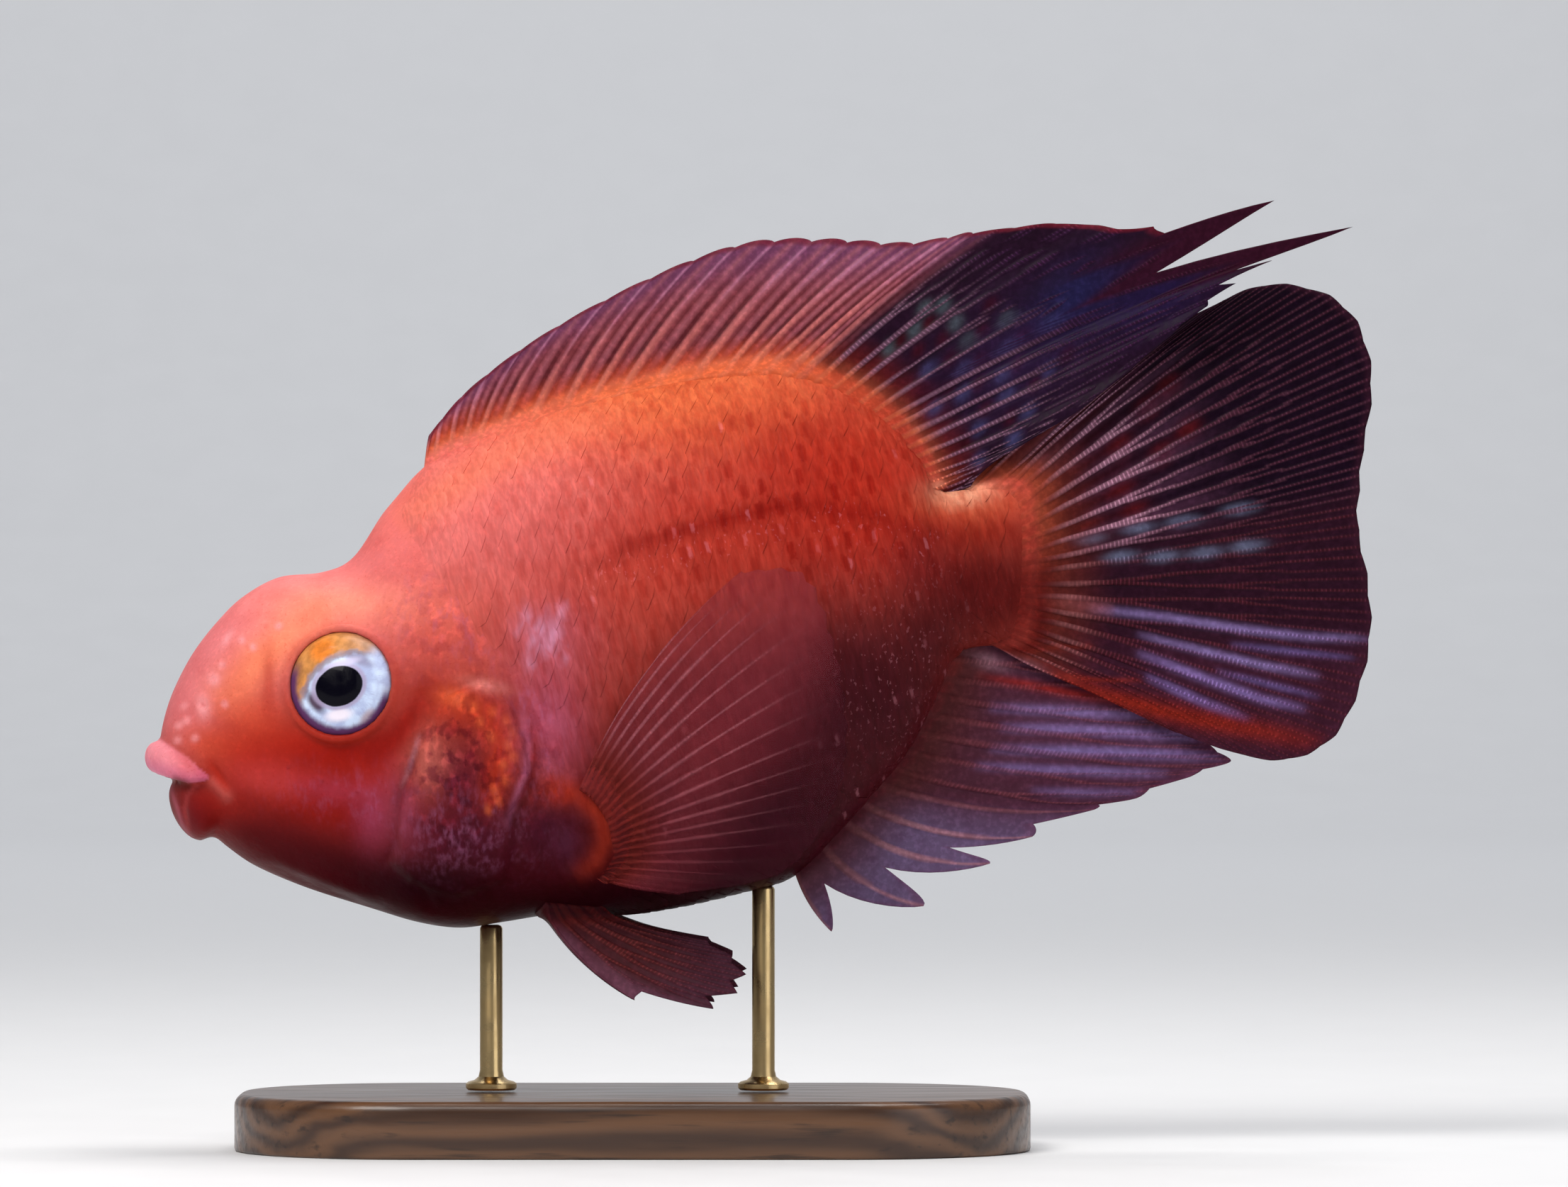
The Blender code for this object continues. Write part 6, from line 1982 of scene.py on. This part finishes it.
@dataclass
class Stand:
    """The display stand: a walnut base with a rounded edge and two brass rods with collars."""

    centre_x: float = -18.0
    length: float = 112.0
    width: float = 60.0
    thick: float = 8.0
    corner: float = 26.0
    edge: float = 1.6
    rod_radius: float = 1.6
    collar_radius: float = 3.6
    gap: float = 0.3

    def base(self, finish: bpy.types.Material) -> bpy.types.Object:
        """Makes the base."""
        Bench.clear()
        bpy.ops.mesh.primitive_cube_add(size=1, location=(0, 0, 0))
        piece = Bench.named("stand_base_dressed")
        at = Bench.places(piece)
        Bench.put(piece, at * (self.length, self.width, self.thick) + (self.centre_x, 0, self.thick / 2))
        bpy.ops.object.mode_set(mode="EDIT")
        bpy.ops.mesh.select_mode(type="EDGE")
        bpy.ops.mesh.select_all(action="DESELECT")
        bpy.ops.object.mode_set(mode="OBJECT")
        for edge in piece.data.edges:
            a, b = (piece.data.vertices[i].co for i in edge.vertices)
            edge.select = abs(a.z - b.z) > self.thick / 2
        bpy.ops.object.mode_set(mode="EDIT")
        bpy.ops.mesh.bevel(offset=self.corner, segments=24, affect="EDGES")
        bpy.ops.mesh.select_all(action="DESELECT")
        bpy.ops.object.mode_set(mode="OBJECT")
        for face in piece.data.polygons:
            face.select = face.normal.z > 0.9
        bpy.ops.object.mode_set(mode="EDIT")
        bpy.ops.mesh.select_mode(type="FACE")
        bpy.ops.mesh.region_to_loop()
        bpy.ops.mesh.bevel(offset=self.edge, segments=6, affect="EDGES")
        bpy.ops.mesh.select_all(action="DESELECT")
        bpy.ops.object.mode_set(mode="OBJECT")
        for face in piece.data.polygons:
            face.select = face.normal.z < -0.9
        bpy.ops.object.mode_set(mode="EDIT")
        bpy.ops.mesh.select_mode(type="FACE")
        bpy.ops.mesh.region_to_loop()
        bpy.ops.mesh.bevel(offset=0.5, segments=3, affect="EDGES")
        bpy.ops.object.mode_set(mode="OBJECT")
        Bench.put(piece, Bench.places(piece) * MM)
        Bench.smooth(piece, 30)
        Bench.dress(piece, finish)
        return piece

    def rod(self, name: str, x: float, top: float, finish: bpy.types.Material) -> bpy.types.Object:
        """Makes one rod, its collar at the foot and its tip rounded."""
        foot = self.thick + self.gap
        profile = [
            (0.0, foot), (self.collar_radius - 0.3, foot), (self.collar_radius, foot + 0.3),
            (self.collar_radius, foot + 0.9), (self.collar_radius - 0.4, foot + 1.2),
            (self.rod_radius + 0.8, foot + 1.4), (self.rod_radius + 0.2, foot + 1.9), (self.rod_radius, foot + 2.8),
            (self.rod_radius, top - 0.5), (self.rod_radius - 0.2, top - 0.15), (self.rod_radius - 0.6, top), (0.0, top),
        ]
        Bench.clear()
        bpy.ops.mesh.primitive_cylinder_add(vertices=48, radius=1, depth=1, end_fill_type="NOTHING")
        piece = Bench.named(name)
        bpy.ops.object.mode_set(mode="EDIT")
        bpy.ops.mesh.select_mode(type="VERT")
        bpy.ops.mesh.select_all(action="DESELECT")
        bpy.ops.object.mode_set(mode="OBJECT")
        for vertex in piece.data.vertices:
            low = vertex.co.z < 0
            vertex.select = not low
            vertex.co = (vertex.co.x * 1e-4, vertex.co.y * 1e-4, profile[0][1]) if low else (
                vertex.co.x * profile[1][0], vertex.co.y * profile[1][0], profile[1][1])
        radius, height = profile[1]
        for wide, tall in profile[2:]:
            wide = max(wide, 1e-4)
            bpy.ops.object.mode_set(mode="EDIT")
            bpy.ops.mesh.extrude_region_move(TRANSFORM_OT_translate={"value": (0, 0, tall - height)})
            bpy.ops.object.mode_set(mode="OBJECT")
            for vertex in piece.data.vertices:
                if vertex.select:
                    vertex.co = (vertex.co.x * wide / radius, vertex.co.y * wide / radius, tall)
            radius, height = wide, tall
        bpy.ops.object.mode_set(mode="EDIT")
        bpy.ops.mesh.select_all(action="SELECT")
        bpy.ops.mesh.remove_doubles(threshold=0.001)
        bpy.ops.mesh.normals_make_consistent(inside=False)
        bpy.ops.object.mode_set(mode="OBJECT")
        Bench.put(piece, (Bench.places(piece) + (x, 0, 0)) * MM)
        Bench.smooth(piece, 35)
        Bench.dress(piece, finish)
        return piece


@dataclass
class Studio:
    """A pale sweep of floor, soft lights and the portrait camera."""

    body: BodyForm
    frame_width: float = 0.2212
    floor_reach: float = 3.0

    def floor(self, finish: bpy.types.Material) -> bpy.types.Object:
        """Makes the floor, swept up behind the fish into a backdrop."""
        Bench.clear()
        bpy.ops.mesh.primitive_grid_add(x_subdivisions=2, y_subdivisions=60, size=2)
        piece = Bench.named("studio_floor")
        flat = Bench.places(piece)
        run = (flat[:, 1] + 1) / 2
        start, radius = 1.9, 0.8
        along = -self.floor_reach + run * (self.floor_reach + start + radius * math.pi / 2 + 1.8)
        turn = np.clip((along - start) / radius, 0, math.pi / 2)
        y = np.minimum(along, start) + radius * np.sin(turn)
        z = radius * (1 - np.cos(turn)) + np.maximum(0, along - start - radius * math.pi / 2)
        Bench.put(piece, np.column_stack([flat[:, 0] * self.floor_reach, y, z]))
        Bench.outwards(piece)
        Bench.smooth(piece)
        Bench.dress(piece, finish)
        return piece

    @staticmethod
    def light(name: str, place: Row, target: Row, size: float, power: float, colour: Colour) -> None:
        """Hangs one soft light.

        Args:
            name: Its name.
            place: Where it hangs.
            target: What it points at.
            size: Its width and height.
            power: Its power in watts.
            colour: Its colour.
        """
        bpy.ops.object.light_add(type="AREA", location=place)
        lamp = bpy.context.active_object
        lamp.name = name
        lamp.data.shape = "SQUARE"
        lamp.data.size = size
        lamp.data.energy = power
        lamp.data.color = colour
        lamp.rotation_euler = (Vector(target) - Vector(place)).to_track_quat("-Z", "Y").to_euler()

    def build(self, finish: bpy.types.Material) -> bpy.types.Object:
        """Makes the floor, the lights, the surrounding light and the camera."""
        floor = self.floor(finish)
        target = (0.0, 0.0, 0.08)
        self.light("key_light", (-0.35, -0.55, 0.75), target, 0.45, 7.2, (1.0, 0.97, 0.93))
        self.light("fill_light", (0.8, -0.7, 0.3), target, 0.8, 2.2, (0.93, 0.95, 1.0))
        self.light("backdrop_light", (0.0, 1.35, 1.7), (0.0, 2.5, 0.35), 0.9, 16.0, (0.97, 0.98, 1.0))
        self.light("top_light", (0.15, 0.15, 0.85), target, 0.5, 4.5, (1.0, 0.98, 0.96))
        world = bpy.data.worlds.new("studio_air")
        bpy.context.scene.world = world
        world.use_nodes = True
        world.node_tree.nodes["Background"].inputs["Color"].default_value = (0.86, 0.88, 0.93, 1)
        world.node_tree.nodes["Background"].inputs["Strength"].default_value = 0.24
        place = np.array(self.body.camera) * MM
        bpy.ops.object.camera_add(location=tuple(place), rotation=(math.pi / 2, 0, 0))
        camera = bpy.context.active_object
        camera.name = "portrait_camera"
        camera.data.sensor_width = 36.0
        camera.data.lens = 36.0 * abs(place[1]) / self.frame_width
        camera.data.clip_end = 20.0
        bpy.context.scene.camera = camera
        bpy.context.scene.view_settings.view_transform = "Standard"
        return floor


def main() -> None:
    """Builds the model piece by piece and reports on each."""
    logging.basicConfig(level=logging.INFO, format="%(message)s")
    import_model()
    body = BodyForm()
    markings = Markings(body)
    skin_maker = Skin(body, markings)
    skin = skin_maker.build(SkinFinish().make())
    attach(skin, "root")
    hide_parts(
        "head", "lower_jaw", "upper_lip", "lower_lip", "gill_cover_left", "gill_cover_right",
        "trunk", "tail_stalk",
    )
    log.info("skin: %d faces", len(skin.data.polygons))
    for piece in ScaleCoat(body, skin_maker, markings).build(ScaleFinish().make()):
        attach(piece, "root")
        log.info("%s: %d faces", piece.name, len(piece.data.polygons))
    eye_finish = EyeFinish().make()
    for side in Side:
        eye = Eyes(body, skin_maker).build(eye_finish, side)
        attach(eye, "root")
        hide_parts(f"eye_{side.name.lower()}")
    fin_finish = FinFinish().make()
    for fin in (DorsalFin(body, skin_maker), TailFin(body, skin_maker), AnalFin(body, skin_maker)):
        piece = fin.build(fin_finish)
        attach(piece, "root")
        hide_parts(fin.name.removesuffix("_dressed"))
        log.info("%s: %d faces", piece.name, len(piece.data.polygons))
    for side in Side:
        word = side.name.lower()
        for fin in (PectoralFin(body, skin_maker), PelvicFin(body, skin_maker)):
            node = fin.name.removesuffix("_dressed") + "_" + word
            piece = fin.build(fin_finish, side)
            piece.name = node + "_dressed"
            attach(piece, "root")
            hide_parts(node)
            log.info("%s: %d faces", piece.name, len(piece.data.polygons))
    stand = Stand()
    base = stand.base(WalnutFinish().make())
    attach(base, "root")
    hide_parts("stand_base")
    brass = BrassFinish().make()
    for node, x, top in (("stand_rod_front", -38.0, 31.6), ("stand_rod_rear", 0.4, 37.1)):
        rod = stand.rod(node + "_dressed", x, top, brass)
        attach(rod, "root")
        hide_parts(node)
    floor = Studio(body).build(FloorFinish().make())


if __name__ == "__main__":
    main()
